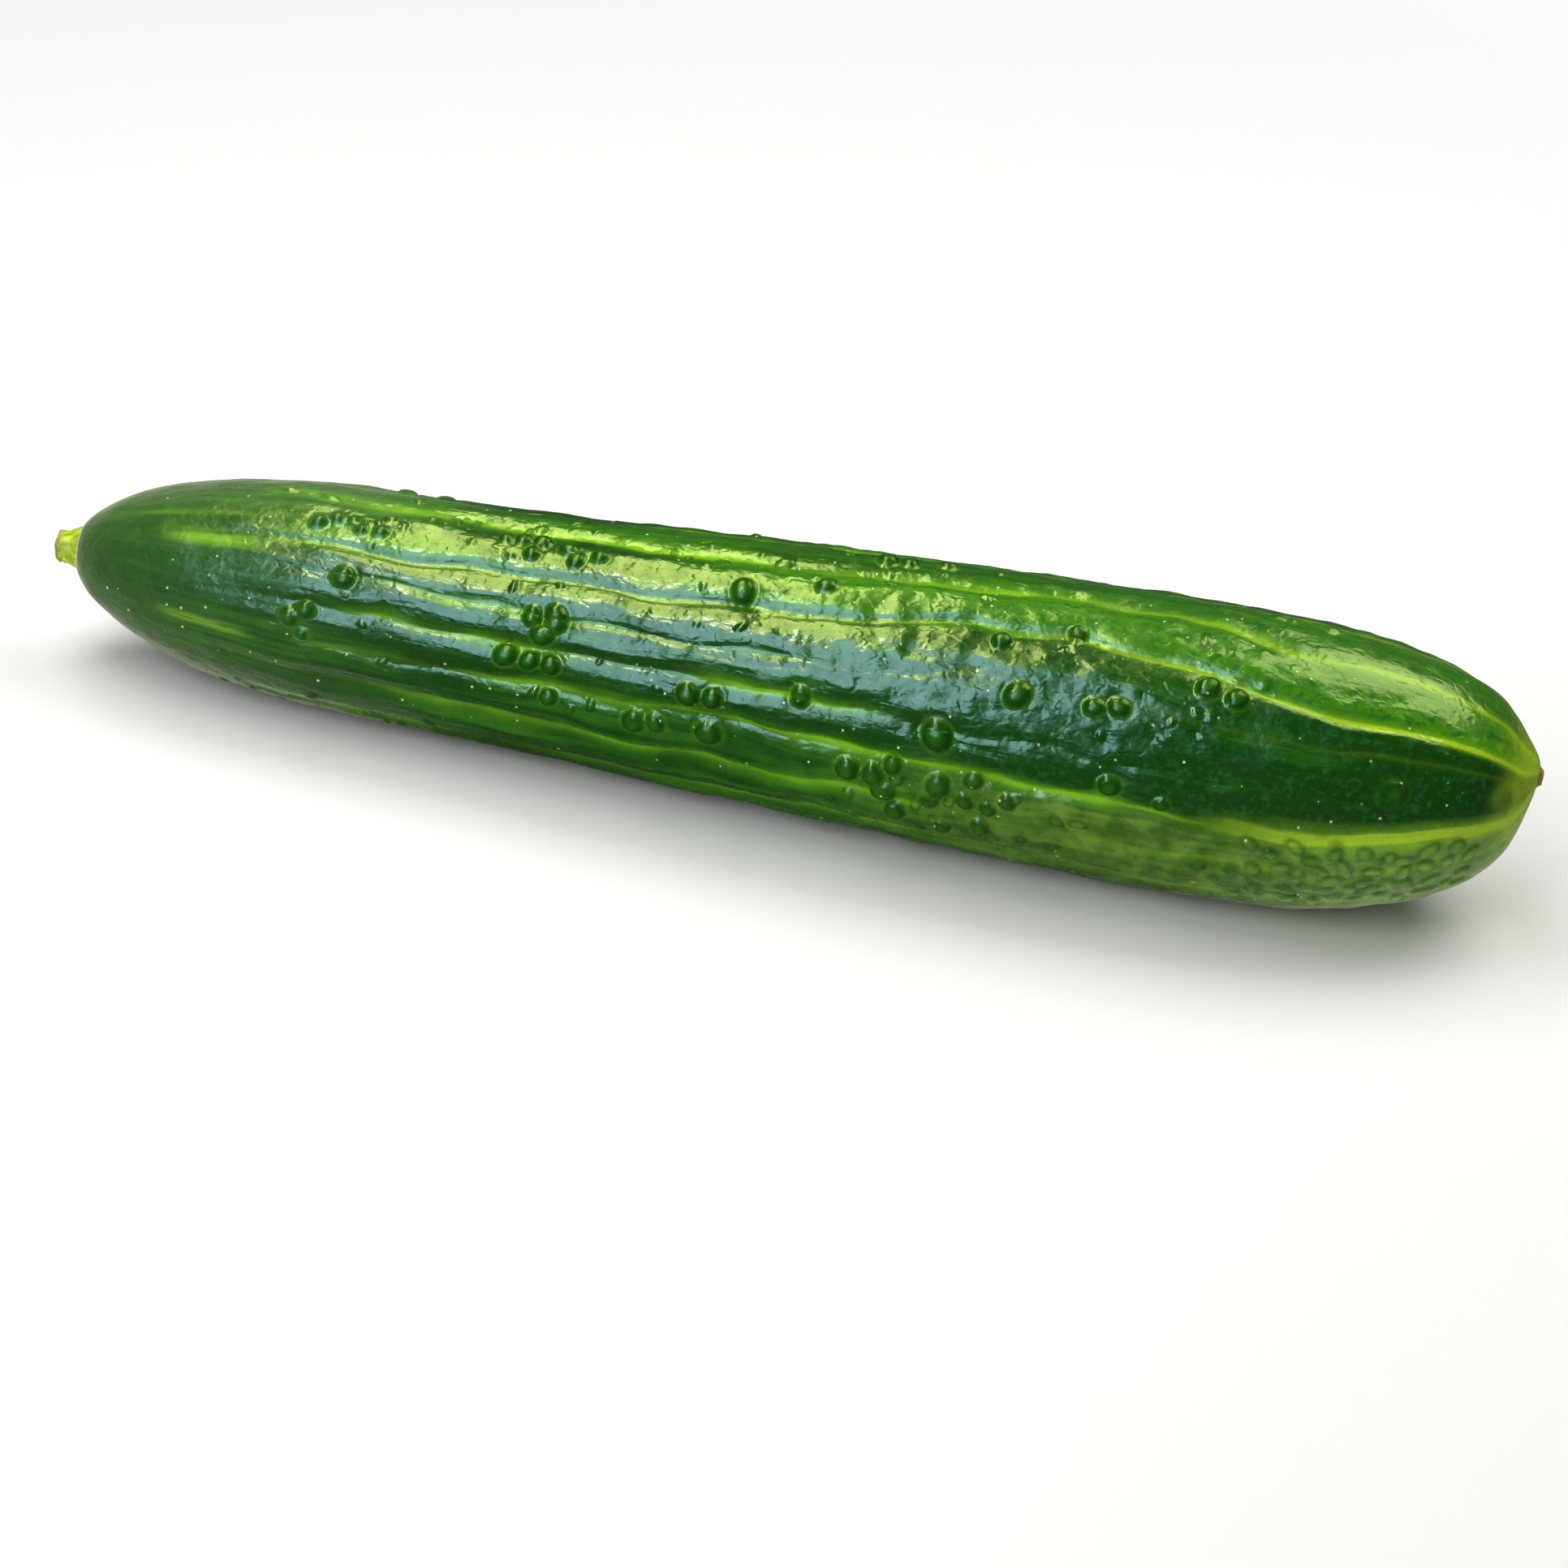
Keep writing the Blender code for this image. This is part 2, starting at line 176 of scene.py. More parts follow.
warts = {
    # as in the solid: where along, degrees, half its length, half its width, how many, radius
    "groups": [
        (0.182, 14, 0.009, 9, 3, 0.0014),
        (0.203, 67, 0.027, 3, 6, 0.0014),
        (0.206, 37, 0.001, 1, 1, 0.0018),
        (0.335, 70, 0.040, 5, 7, 0.0014),
        (0.345, 33, 0.013, 6, 3, 0.0017),
        (0.338, 14, 0.020, 2, 4, 0.0016),
        (0.357, -2, 0.001, 1, 1, 0.0015),
        (0.458, 12, 0.010, 1, 2, 0.0017),
        (0.440, -6, 0.030, 2, 4, 0.0019),
        (0.474, 62, 0.001, 1, 1, 0.0020),
        (0.526, 70, 0.001, 1, 1, 0.0015),
        (0.526, 20, 0.001, 1, 1, 0.0018),
        (0.618, 15, 0.001, 1, 1, 0.0026),
        (0.615, -15, 0.055, 16, 13, 0.0018),
        (0.648, 57, 0.001, 1, 1, 0.0020),
        (0.695, 66, 0.001, 1, 1, 0.0017),
        (0.700, 38, 0.040, 3, 3, 0.0017),
        (0.732, 7, 0.001, 1, 1, 0.0016),
        (0.791, 51, 0.010, 1, 2, 0.0021),
        (0.820, -27, 0.024, 5, 4, 0.0016),
        (0.890, -18, 0.045, 14, 6, 0.0014),
        (0.911, 21, 0.001, 1, 1, 0.0023),
        (0.600, 98, 0.050, 2, 3, 0.0016),
        (0.835, 101, 0.020, 2, 3, 0.0014),
        (0.240, 130, 0.050, 12, 6, 0.0016),
        (0.470, 148, 0.055, 14, 7, 0.0018),
        (0.700, 165, 0.050, 14, 7, 0.0018),
        (0.330, 196, 0.060, 10, 6, 0.0017),
        (0.560, 215, 0.050, 8, 5, 0.0018),
        (0.850, 186, 0.040, 16, 6, 0.0015),
        # and two that only the skin has
        (0.804, 49, 0.001, 1, 1, 0.0019),
        (0.768, 3, 0.001, 1, 1, 0.0013),
    ],
    "seed": 5,
    "sizeSpread": 0.18,
    "height": 0.60,  # of a dome, share of its radius
    # rows of the list above whose warts are flat blisters
    "flatRows": {19: 0.6, 20: 0.5, 21: 0.35, 23: 0.6, 24: 0.5},
    "spacing": 1.75,
    "tries": 12,
    # how far away along and round the fruit the skin is felt for its slope
    "probe": 0.002,
    "probeTurn": 0.01,
    "floorClearance": 0.0035,
    "ditch": 0.10,  # depth of the dip round a wart, as a share of its height
    # fields of small bumps between the warts
    "fields": [
        (0.895, -25, 0.075, 20, 46, 0.0011),
        (0.640, -22, 0.090, 16, 18, 0.0008),
        (0.740, 52, 0.080, 26, 14, 0.0007),
        (0.350, 40, 0.140, 50, 34, 0.0006),
        (0.400, 88, 0.260, 14, 24, 0.0007),
        (0.200, -48, 0.080, 10, 12, 0.0008),
        (0.880, 175, 0.060, 30, 40, 0.0009),
        (0.450, 170, 0.250, 60, 44, 0.0007),
    ],
    "fieldSeed": 23,
    "fieldSpacing": 2.3,
    "fieldHeight": 0.42,
    "fieldDitch": 0.20,
    "fieldStretch": (1.1, 2.1),  # how much longer than wide the small bumps are
    "stretch": (1.0, 1.22),
    # where the ring of colour round its foot lies, and how wide it is, in radii
    "foot": (1.14, 0.16),
    # for the small bumps this ring is a painted shade
    "fieldFoot": (0.95, 0.28),
    "ovalSeed": 31,
    # the shape of a dome, then places on it in radii: the dip, the edge of the painted shade, the pale
    # crown
    "domePower": (2.2, 0.55),
    "dip": (1.25, 0.28),
    "edge": (0.80, 1.05),
    "crown": (0.05, 0.75),
    "reach": 2.2,
    "fineReach": (1.35, 0.0005),  # the mesh is finer this far round a wart: in radii, and metres
}

relief = {
    # soft unevenness of the skin: metres high, and bumps per metre (along, around)
    "lumps": (0.00028, (90, 110)),
    "knobs": (0.00024, (230, 250)),
    "folds": (0.00014, (70, 460)),
    "fractal": (0.9, 2.0, 2),
    # where the knobs are strong along the fruit, and how strong elsewhere
    "knobsFrom": (0.30, 0.55),
    "knobsTo": (0.90, 0.98),
    "knobsElsewhere": 0.35,
    # the relief begins and ends here, as shares of the length, and is low on the warts
    "from": (0.004, 0.03),
    "to": (0.985, 1.0),
    "foldsFrom": (0.02, 0.14),
    "foldsTo": (0.90, 0.985),
    "lostOnWarts": 0.7,
    # how far a groove swings from side to side, in ribs, and how often per metre
    "swing": (0.15, (90, 190)),
    "swingFrom": (0.05, 0.20),
    "swingTo": (0.86, 0.97),
    # grooves that drift sideways over a stretch of the fruit: from, to, and how many ribs; the
    # skin for this many ribs on either side goes with them
    "drift": {
        7: [(0.00, 0.08, -0.33), (0.48, 0.64, 0.33), (0.68, 0.86, -0.52)],
        8: [(0.78, 0.84, -0.35)],
        4: [(0.76, 0.84, -0.12), (0.90, 0.96, 0.20)],
    },
    "driftReach": 1.6,
}


def within(along, start, end):
    # 0 before the start and past the end, 1 between them
    return smoothStep(*start, along) * (1 - smoothStep(*end, along))


def capRadius(share, power):
    inward = 1 - np.clip(share, 0, 1)
    return (1 - inward**power) ** (1 / power)


def girth(along):
    grown = fruit["stalkGirth"] + (1 - fruit["stalkGirth"]) * smoothStep(*fruit["girthRise"], along)
    place, length, depth = fruit["waist"]
    waist = 1 - depth * np.exp(-(((along - place) / length) ** 2))
    return fruit["maxRadius"] * grown * waist


def bodyRadius(along):
    stalk = capRadius(along / fruit["stalkCap"], fruit["stalkCapPower"])
    flower = capRadius((1 - along) / fruit["flowerCap"], fruit["flowerCapPower"])
    return girth(along) * stalk * flower


def shareWhereRadius(target, cap, fromStalk):
    low, high = 0.0, cap
    for _ in range(40):
        middle = (low + high) / 2
        if bodyRadius(middle if fromStalk else 1 - middle) < target:
            low = middle
        else:
            high = middle
    return low if fromStalk else 1 - low


rimShare = shareWhereRadius(fruit["rimRadius"], fruit["stalkCap"], True)
tipShare = shareWhereRadius(fruit["tipRadius"], fruit["flowerCap"], False)
fruitLength = (fruitBox[1].x - fruitBox[0].x - fruit["nubHeight"]) / (tipShare - rimShare)
fruitStart = fruitBox[0].x - rimShare * fruitLength

grooveDraw = random.Random(fruit["grooveSeed"])
grooveSway = [
    (grooveDraw.uniform(0, 2 * math.pi), grooveDraw.uniform(*fruit["grooveWaves"]))
    for _ in fruit["grooves"]
]


def grooveAngle(index, along):
    turns, index = divmod(index, grooveCount)
    phase, waves = grooveSway[index]
    sway = 0 if index == 0 else fruit["grooveWander"] * np.sin(phase + 2 * math.pi * waves * along)
    return math.radians(fruit["grooves"][index][0]) + 2 * math.pi * turns + sway + 0 * along


def grooveStrength(index, along):
    _, share, reach, _ = fruit["grooves"][index % grooveCount]
    begin = smoothStep(*fruit["grooveStart"], along)
    half = fruit["grooveFade"] / 2
    fade = 1 - (1 - fruit["grooveRest"]) * smoothStep(reach - half, reach + half, along)
    end = 1 - smoothStep(*fruit["grooveEnd"], along)
    return share * begin * fade * end


def centreLine(along):
    bow = fruit["sideBend"] * np.sin(math.pi * along ** fruit["bendSkew"])
    lift = fruit["endLift"] * np.abs((along - fruit["restCentre"]) / 0.5) ** fruit["liftPower"]
    lobe = 1 + fruit["carpelLobes"] * math.cos(3 * (-math.pi / 2 - fruit["carpelTurn"]))
    rise = fruit["tipRise"] * (1 - smoothStep(0, fruit["tipRiseRadius"], bodyRadius(along)))
    height = girth(along) * lobe + lift - fruit["restSink"] + np.where(along > fruit["nubFrom"], rise, 0)
    return np.stack([fruitStart + along * fruitLength, fruit["sideShift"] - bow, height], -1)


def skinAt(along, turn, swung=None):
    # turn counts ribs round the fruit: 3.5 is the middle of the rib above groove 3. A swung turn
    # is where that point of the skin has wavered to, grooves and all
    angles = np.array([grooveAngle(i, along) for i in range(grooveCount + 1)])
    depths = np.array([grooveStrength(i, along) for i in range(grooveCount + 1)])
    order = np.arange(len(along))
    swung = turn if swung is None else swung
    rib = np.floor(swung).astype(int) % grooveCount
    start, end = angles[rib, order], angles[rib + 1, order]
    angle = start + (end - start) * (swung - np.floor(swung))
    rib = np.floor(turn).astype(int) % grooveCount
    share = turn - np.floor(turn)
    lobes = 1 + fruit["carpelLobes"] * np.cos(3 * (angle - fruit["carpelTurn"]))
    dip = depths[rib, order] * np.maximum(0, 1 - 2 * share) ** fruit["grooveSharpness"]
    dip += depths[rib + 1, order] * np.maximum(0, 2 * share - 1) ** fruit["grooveSharpness"]
    radius = bodyRadius(along) * lobes - fruit["grooveDepth"] * dip
    outward = np.stack([0 * angle, -np.cos(angle), np.sin(angle)], -1)
    point = centreLine(along) + outward * radius[:, None]
    nub = fruit["nubHeight"] * np.exp(-((radius / fruit["nubRadius"]) ** 2))
    point[:, 0] += np.where(along > fruit["nubFrom"], nub, 0)
    return point, angle, radius, outward


def turnAtAngle(along, angle):
    for rib in range(grooveCount):
        start, end = grooveAngle(rib, along), grooveAngle(rib + 1, along)
        offset = (angle - start) % (2 * math.pi)
        if offset <= end - start:
            return rib + offset / (end - start)
    return 0.0


def pointAtAngle(along, angle):
    return Vector(skinAt(np.array([along]), np.array([turnAtAngle(along, angle)]))[0][0])


def normalAtAngle(along, angle):
    here = pointAtAngle(along, angle)
    ahead = pointAtAngle(along + warts["probe"], angle)
    beside = pointAtAngle(along, angle + warts["probeTurn"])
    normal = (beside - here).cross(ahead - here).normalized()
    if normal.dot(Vector((0, -math.cos(angle), math.sin(angle)))) < 0:
        normal.negate()
    return here, normal


def placeWarts(groups, seed, spacing):
    draw = random.Random(seed)
    placed = []
    for row, (along, degrees, span, turn, count, size) in enumerate(groups):
        for _ in range(count):
            for _attempt in range(warts["tries"]):
                share = along + draw.uniform(-span, span)
                angle = math.radians(degrees + draw.uniform(-turn, turn))
                radius = size * draw.uniform(1 - warts["sizeSpread"], 1 + warts["sizeSpread"])
                point, normal = normalAtAngle(share, angle)
                clear = all(
                    (point - other).length > spacing * max(radius, sizeThere)
                    for other, _, sizeThere, _ in placed
                )
                if clear and point.z > warts["floorClearance"]:
                    placed.append((point, normal, radius, row))
                    break
    return placed


def ringPlaces():
    # distances along a straight blank; the stalk pit lies before its zero
    quarter = math.pi / 2
    first = math.acos(1 - rimShare / fruit["stalkCap"])
    last = math.acos(1 - (1 - tipShare) / fruit["flowerCap"])
    pit = [-(1 - i / fruit["pitRings"]) for i in range(fruit["pitRings"])]
    stalk = [
        fruit["stalkCap"] * (1 - math.cos(first + (quarter - first) * i / fruit["stalkRings"]))
        for i in range(fruit["stalkRings"])
    ]
    bodyEnd = 1 - fruit["flowerCap"]
    body = np.linspace(fruit["stalkCap"], bodyEnd, fruit["bodyRings"], endpoint=False)
    flower = [
        1 - fruit["flowerCap"] * (1 - math.cos(quarter - (quarter - last) * i / fruit["flowerRings"]))
        for i in range(fruit["flowerRings"] + 1)
    ]
    return pit + stalk + list(body) + flower


def turnBlank():
    # a straight rod with a ring of the blank for every ring of the skin
    places = ringPlaces()
    outline = [Vector((place, 0, fruit["blankRadius"])) for place in places]
    outline[0].z = 0
    outline.append(Vector((1.0, 0, 0)))
    deselectAll()
    bpy.ops.mesh.primitive_plane_add(size=0.001, location=outline[0])
    blank = bpy.context.object
    blank.name = "cucumber_skin"
    bpy.ops.object.transform_apply(location=True)
    bpy.ops.object.mode_set(mode="EDIT")
    bpy.ops.mesh.select_all(action="SELECT")
    bpy.ops.mesh.merge(type="CENTER")
    for here, there in zip(outline, outline[1:]):
        bpy.ops.mesh.extrude_region_move(TRANSFORM_OT_translate={"value": there - here})
    bpy.ops.mesh.select_all(action="SELECT")
    bpy.ops.mesh.spin(steps=columnCount, angle=2 * math.pi, center=(0, 0, 0), axis=(1, 0, 0))
    bpy.ops.mesh.select_all(action="SELECT")
    bpy.ops.mesh.remove_doubles(threshold=1e-6)
    bpy.ops.mesh.normals_make_consistent(inside=False)
    bpy.ops.object.mode_set(mode="OBJECT")
    return blank


def readVectors(items, field):
    values = np.empty(len(items) * 3)
    items.foreach_get(field, values)
    return values.reshape(-1, 3)


def blankPlaces(mesh):
    points = readVectors(mesh.vertices, "co")
    turn = np.arctan2(points[:, 1], points[:, 2]) / (2 * math.pi) * grooveCount
    onAxis = np.hypot(points[:, 1], points[:, 2]) < 1e-6
    turn = np.where(np.abs(turn - np.round(turn)) < 1e-4, np.round(turn), turn)
    return points[:, 0], np.where(onAxis, 0, turn % grooveCount), onAxis


def swungTurn(along, turn):
    # the skin's grooves waver as a real fruit's do; each swings on its own
    swing, often = relief["swing"]
    lay = layPoints(along, turn) * np.array([often[0], often[1], often[1]])
    sway = np.array([noise.noise(Vector(p)) for p in lay])
    calm = within(along, relief["swingFrom"], relief["swingTo"])
    drift = 0
    for groove, moves in relief["drift"].items():
        away = np.abs((turn - groove + grooveCount / 2) % grooveCount - grooveCount / 2)
        moved = sum(ribs * smoothStep(low, high, along) for low, high, ribs in moves)
        drift = drift + moved * (1 - smoothStep(0, relief["driftReach"], away))
    return turn + swing * sway * calm + drift


def skinPoints(mesh):
    place, turn, onAxis = blankPlaces(mesh)
    along = np.clip(place, rimShare, tipShare)
    point, angle, radius, outward = skinAt(along, turn, swungTurn(along, turn))
    rimMiddle = centreLine(np.array([rimShare]))[0]
    inside = place < rimShare - 1e-9
    depth = np.clip((rimShare - place) / (rimShare + 1), 0, 1)  # 0 at the rim, 1 at the pit's middle
    wall = fruit["pitWall"]
    reach = fruit["rimRadius"] + (fruit["pitRadius"] - fruit["rimRadius"]) * smoothStep(0, wall, depth)
    reach = reach * (1 - smoothStep(wall, 1.0, depth))
    sunk = fruit["pitDepth"] * smoothStep(0, 1.1 * wall, depth)
    pit = rimMiddle + outward * reach[:, None] + np.stack([sunk, 0 * sunk, 0 * sunk], -1)
    point = np.where(inside[:, None], pit, point)
    flowerPole = onAxis & (place > 0.5)
    tip = centreLine(np.array([tipShare]))[0] + np.array([fruit["nubHeight"], 0, 0])
    point[flowerPole] = tip
    point[onAxis & (place < 0)] = rimMiddle + np.array([fruit["pitDepth"], 0, 0])
    return point, along, turn, angle, radius, inside | onAxis


def refineNearWarts(blank, placed):
    points = skinPoints(blank.data)[0]
    mesh = blank.data
    middles = np.array([points[list(face.vertices)].mean(0) for face in mesh.polygons])
    near = np.zeros(len(middles), bool)
    grow, margin = warts["fineReach"]
    for point, _, radius, _ in placed:
        near |= np.linalg.norm(middles - np.array(point), axis=1) < radius * grow + margin
    selectOnly(blank)
    bpy.ops.object.mode_set(mode="EDIT")
    bpy.ops.mesh.select_mode(type="FACE")
    bpy.ops.mesh.select_all(action="DESELECT")
    bpy.ops.object.mode_set(mode="OBJECT")
    mesh.polygons.foreach_set("select", near)
    bpy.ops.object.mode_set(mode="EDIT")
    bpy.ops.mesh.subdivide(number_cuts=1, quadcorner="INNERVERT")
    bpy.ops.object.mode_set(mode="OBJECT")


def layPoints(along, turn):
    # where a point lies on the straightened fruit, wrapped round a rod of even girth
    angle = turn / grooveCount * 2 * math.pi
    rod = fruit["maxRadius"]
    return np.stack([along * fruitLength, -rod * np.cos(angle), rod * np.sin(angle)], -1)


def noiseOver(points, scale):
    scaled = points * np.array([scale[0], scale[1], scale[1]])
    return np.array([noise.fractal(Vector(p), *relief["fractal"]) for p in scaled])


def raiseDomes(points, placed, height, ditch, stretch, footPlace, footWidth, flatRows):
    # each dome is a little oval; the dome, its crown and its foot each get a mask for the colours: the
    # dome's carries painted shade on the warts, the foot's on the small bumps
    draw = random.Random(warts["ovalSeed"])
    raised, dome, crown, foot = np.zeros((4, len(points)))
    steep, blunt = warts["domePower"]
    dipPlace, dipWidth = warts["dip"]
    for point, normal, radius, row in placed:
        level = height * flatRows.get(row, 1)
        longer = draw.uniform(*stretch)
        turn = draw.uniform(0, math.pi)
        across = normal.cross(Vector((1, 0, 0))).normalized()
        lengthwise = across.cross(normal)
        major = lengthwise * math.cos(turn) + across * math.sin(turn)
        offset = points - np.array(point)
        share = offset @ np.array(major)
        out = offset @ np.array(normal)
        squared = np.einsum("ij,ij->i", offset, offset) - out**2 + share**2 * (1 / longer**2 - 1)
        distance = np.sqrt(np.maximum(squared, 0)) / radius
        near = (distance < warts["reach"]) & (np.abs(out) < 2 * radius)
        d = distance[near]
        top = level * radius * np.maximum(0, 1 - d**steep) ** blunt
        dip = -ditch * level * radius * np.exp(-(((d - dipPlace) / dipWidth) ** 2))
        raised[near] = np.where(d < 1, np.maximum(raised[near], top), raised[near] + dip)
        edge = flatRows.get(row, 1) * (1 - smoothStep(*warts["edge"], d))
        dome[near] = np.maximum(dome[near], edge)
        crown[near] = np.maximum(crown[near], 1 - smoothStep(*warts["crown"], d))
        rim = np.exp(-(((d - footPlace) / footWidth) ** 2))
        foot[near] = np.maximum(foot[near], flatRows.get(row, 1) * rim)
    return raised, dome, crown, foot


def writeAttribute(mesh, name, values):
    kind = "FLOAT_VECTOR" if values.ndim == 2 else "FLOAT"
    field = "vector" if values.ndim == 2 else "value"
    attribute = mesh.attributes.new(name, kind, "POINT")
    attribute.data.foreach_set(field, values.astype(np.float32).ravel())


def grooveMasks(along, turn, radius):
    # how far the nearest groove is in millimetres, and how lime and how yellow its line is
    nearest = np.round(turn).astype(int) % grooveCount
    away = np.abs(turn - np.round(turn)) * 2 * math.pi / grooveCount * np.maximum(radius, 0.001)
    tints = np.array([groove[3] for groove in fruit["grooves"]])
    strengths = np.array([grooveStrength(i, along) for i in range(grooveCount)])
    lime = smoothStep(*markings["limeDepth"], strengths[nearest, np.arange(len(along))])
    lime = lime * smoothStep(*markings["limeFrom"], along)
    for i, share in markings["limeShare"].items():
        lime = np.where(nearest == i, lime * share, lime)
    # painted shade along the one shaded groove
    shade = within(along, markings["shadeFrom"], markings["shadeEnd"])
    shade = shade * (nearest == markings["shadedGroove"])
    lime = lime * (1 - markings["limeLostInShade"] * shade)
    yellow = np.zeros(len(along))
    for i, tint in enumerate(tints):
        start, full = markings["yellowFrom"].get(i, markings["yellowElsewhere"])
        yellow = np.where(nearest == i, tint * smoothStep(start, full, along), yellow)
    widths = np.array([markings["stripeWidth"].get(i, 1) for i in range(grooveCount)])
    return away * 1000, away * 1000 / widths[nearest], lime, yellow, shade


def streakMask(along, angle):
    # soft spindles of lime on the shoulder
    mask = np.zeros(len(along))
    for place, degrees, length, width, strength in markings["streaks"]:
        across = (angle - math.radians(degrees) + math.pi) % (2 * math.pi) - math.pi
        across = across * bodyRadius(along) * 1000 / width
        lengthwise = (along - place) / length
        mask = np.maximum(mask, strength * np.exp(-(across**2) - lengthwise**4))
    return mask


markings = {
    # how many times wider than the others the pale stripe of a groove is
    "stripeWidth": {4: 1.9, 8: 0.8},
    # how much of the lime line each lower groove keeps
    "limeShare": {0: 0.6, 1: 0.6, 2: 0.65, 3: 0.7},
    # one groove is painted dark instead of lime, a painted shade along it, until its stripe begins
    "shadedGroove": 7,
    "shadeFrom": (0.12, 0.24),
    "shadeEnd": (0.54, 0.66),
    "limeLostInShade": 0.8,
    # how deep a groove has to be for its lime line, and where along the lines begin
    "limeDepth": (0.20, 0.85),
    "limeFrom": (0.08, 0.26),
    # where along a groove's stripe begins to be yellow, and where it is all yellow
    "yellowFrom": {4: (0.77, 0.90)},
    "yellowElsewhere": (0.62, 0.90),
    # lime streaks on the shoulder: where along, degrees, half length, half width in mm, strength
    "streaks": [
        (0.112, 48, 0.034, 1.2, 1.0),
        (0.112, -2, 0.032, 0.9, 0.8),
        (0.090, 65, 0.055, 0.4, 0.5),
        (0.165, 88, 0.035, 0.9, 0.5),
        (0.120, 150, 0.030, 1.3, 0.9),
        (0.105, 205, 0.034, 1.2, 0.8),
    ],
    # the olive side, in ribs from one below groove 0, and where along it begins; its paler look is partly
    # a painted reflection of the floor
    "oliveRibs": ((0.0, 0.8), (4.75, 5.05)),
    "oliveFrom": (0.50, 0.74),
}

ribTone = {
    # how light each rib is, from the one above groove 0, over the stalk half and the flower half
    "stalk": [0.10, 0.15, 0.22, 0.25, 0.16, 0.12, 0.18, 0.34, 0.45, 0.38, 0.25, 0.15, 0.15, 0.10, 0.10],
    "flower": [0.60, 0.50, 0.45, 0.40, 0.00, -0.05, 0.05, 0.75, 0.50, 0.40, 0.55, 0.30, 0.45, 0.30, 0.55],
    "change": (0.30, 0.70),  # where the one goes over into the other
    "edge": 0.12,  # share of a rib in which it blends with the next
}


def toneOver(along, turn):
    rib = np.floor(turn).astype(int) % grooveCount
    share = turn - np.floor(turn)
    blend = smoothStep(*ribTone["change"], along)
    stalk, flower = np.array(ribTone["stalk"]), np.array(ribTone["flower"])

    def at(index):
        return stalk[index % grooveCount] * (1 - blend) + flower[index % grooveCount] * blend

    here = at(rib)
    below = (here + at(rib - 1)) / 2
    above = (here + at(rib + 1)) / 2
    edge = ribTone["edge"]
    value = np.where(share < edge, below + (here - below) * share / edge, here)
    return np.where(share > 1 - edge, above + (here - above) * (1 - share) / edge, value)


def oliveOver(along, turn):
    # the side that lay on the ground, up to groove 4, is duller and paler towards the flower; the paler
    # look is partly a painted reflection of the floor
    side = (turn + 1) % grooveCount
    return within(side, *markings["oliveRibs"]) * smoothStep(*markings["oliveFrom"], along)


def makeSkin():
    placed = placeWarts(warts["groups"], warts["seed"], warts["spacing"])
    small = placeWarts(warts["fields"], warts["fieldSeed"], warts["fieldSpacing"])
    blank = turnBlank()
    print("blank turned:", len(blank.data.polygons), "faces")
    refineNearWarts(blank, placed + small)
    mesh = blank.data
    point, along, turn, angle, radius, plain = skinPoints(mesh)
    lay = layPoints(along, turn)
    ends = within(along, relief["from"], relief["to"]) * ~plain
    mesh.vertices.foreach_set("co", point.ravel())
    mesh.update()
    normals = readVectors(mesh.vertex_normals, "vector")
    knobby = within(along, relief["knobsFrom"], relief["knobsTo"])
    knobby = relief["knobsElsewhere"] + (1 - relief["knobsElsewhere"]) * knobby
    lift = relief["lumps"][0] * noiseOver(point, relief["lumps"][1])
    lift += relief["knobs"][0] * knobby * noiseOver(point, relief["knobs"][1])
    even = within(along, relief["foldsFrom"], relief["foldsTo"])
    lift += relief["folds"][0] * even * noiseOver(lay, relief["folds"][1])
    raised, mask, crown, rim = raiseDomes(
        point, placed, warts["height"], warts["ditch"], warts["stretch"], *warts["foot"],
        warts["flatRows"])
    smallRaised, _, _, smallShadeRim = raiseDomes(
        point, small, warts["fieldHeight"], warts["fieldDitch"], warts["fieldStretch"],
        *warts["fieldFoot"], {})
    lift = lift * (1 - relief["lostOnWarts"] * mask) * ends + raised
    lift += smallRaised * (mask < 0.05)  # no small bump stands on a wart
    point = point + normals * lift[:, None]
    # nothing reaches outside the solid's box, so what lies on the floor stays flat
    point = np.clip(point, np.array(fruitBox[0]), np.array(fruitBox[1]))
    mesh.vertices.foreach_set("co", point.ravel())
    mesh.update()
    away, stripe, lime, yellow, shade = grooveMasks(along, turn, radius)
    for name, values in {
        "lay": lay, "along": along, "fromGroove": away, "fromStripe": stripe, "lime": lime,
        "yellow": yellow, "shade": shade, "streak": streakMask(along, angle),
        "tone": toneOver(along, turn), "olive": oliveOver(along, turn), "wartDome": mask,
        "wartCrown": crown, "wartRim": rim, "bumpShadeRim": smallShadeRim,
    }.items():
        writeAttribute(mesh, name, values)
    smoothPiece(blank)
    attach(blank, "root")
    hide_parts("fruit")
    return blank


skin = makeSkin()
print("skin made:", len(skin.data.polygons), "faces")


def newMaterial(piece, name):
    material = bpy.data.materials.new(name)
    material.use_nodes = True
    piece.data.materials.clear()
    piece.data.materials.append(material)
    return material.node_tree, material.node_tree.nodes["Principled BSDF"]


def fill(tree, node, inputs):
    # a plain value is set on the socket, and what comes out of another node is linked to it
    for socket, value in inputs.items():
        if isinstance(value, bpy.types.NodeSocket):
            tree.links.new(value, node.inputs[socket])
        else:
            node.inputs[socket].default_value = value


def addNode(tree, kind, inputs, **settings):
    node = tree.nodes.new(kind)
    for name, value in settings.items():
        setattr(node, name, value)
    fill(tree, node, inputs)
    return node


def mixColours(tree, share, first, second):
    return addNode(tree, "ShaderNodeMix", {0: share, 6: first, 7: second}, data_type="RGBA").outputs[2]


def softRange(tree, value, low, high, newLow=0.0, newHigh=1.0):
    inputs = {"Value": value, "From Min": low, "From Max": high, "To Min": newLow, "To Max": newHigh}
    node = addNode(tree, "ShaderNodeMapRange", inputs, interpolation_type="SMOOTHSTEP")
    return node.outputs["Result"]


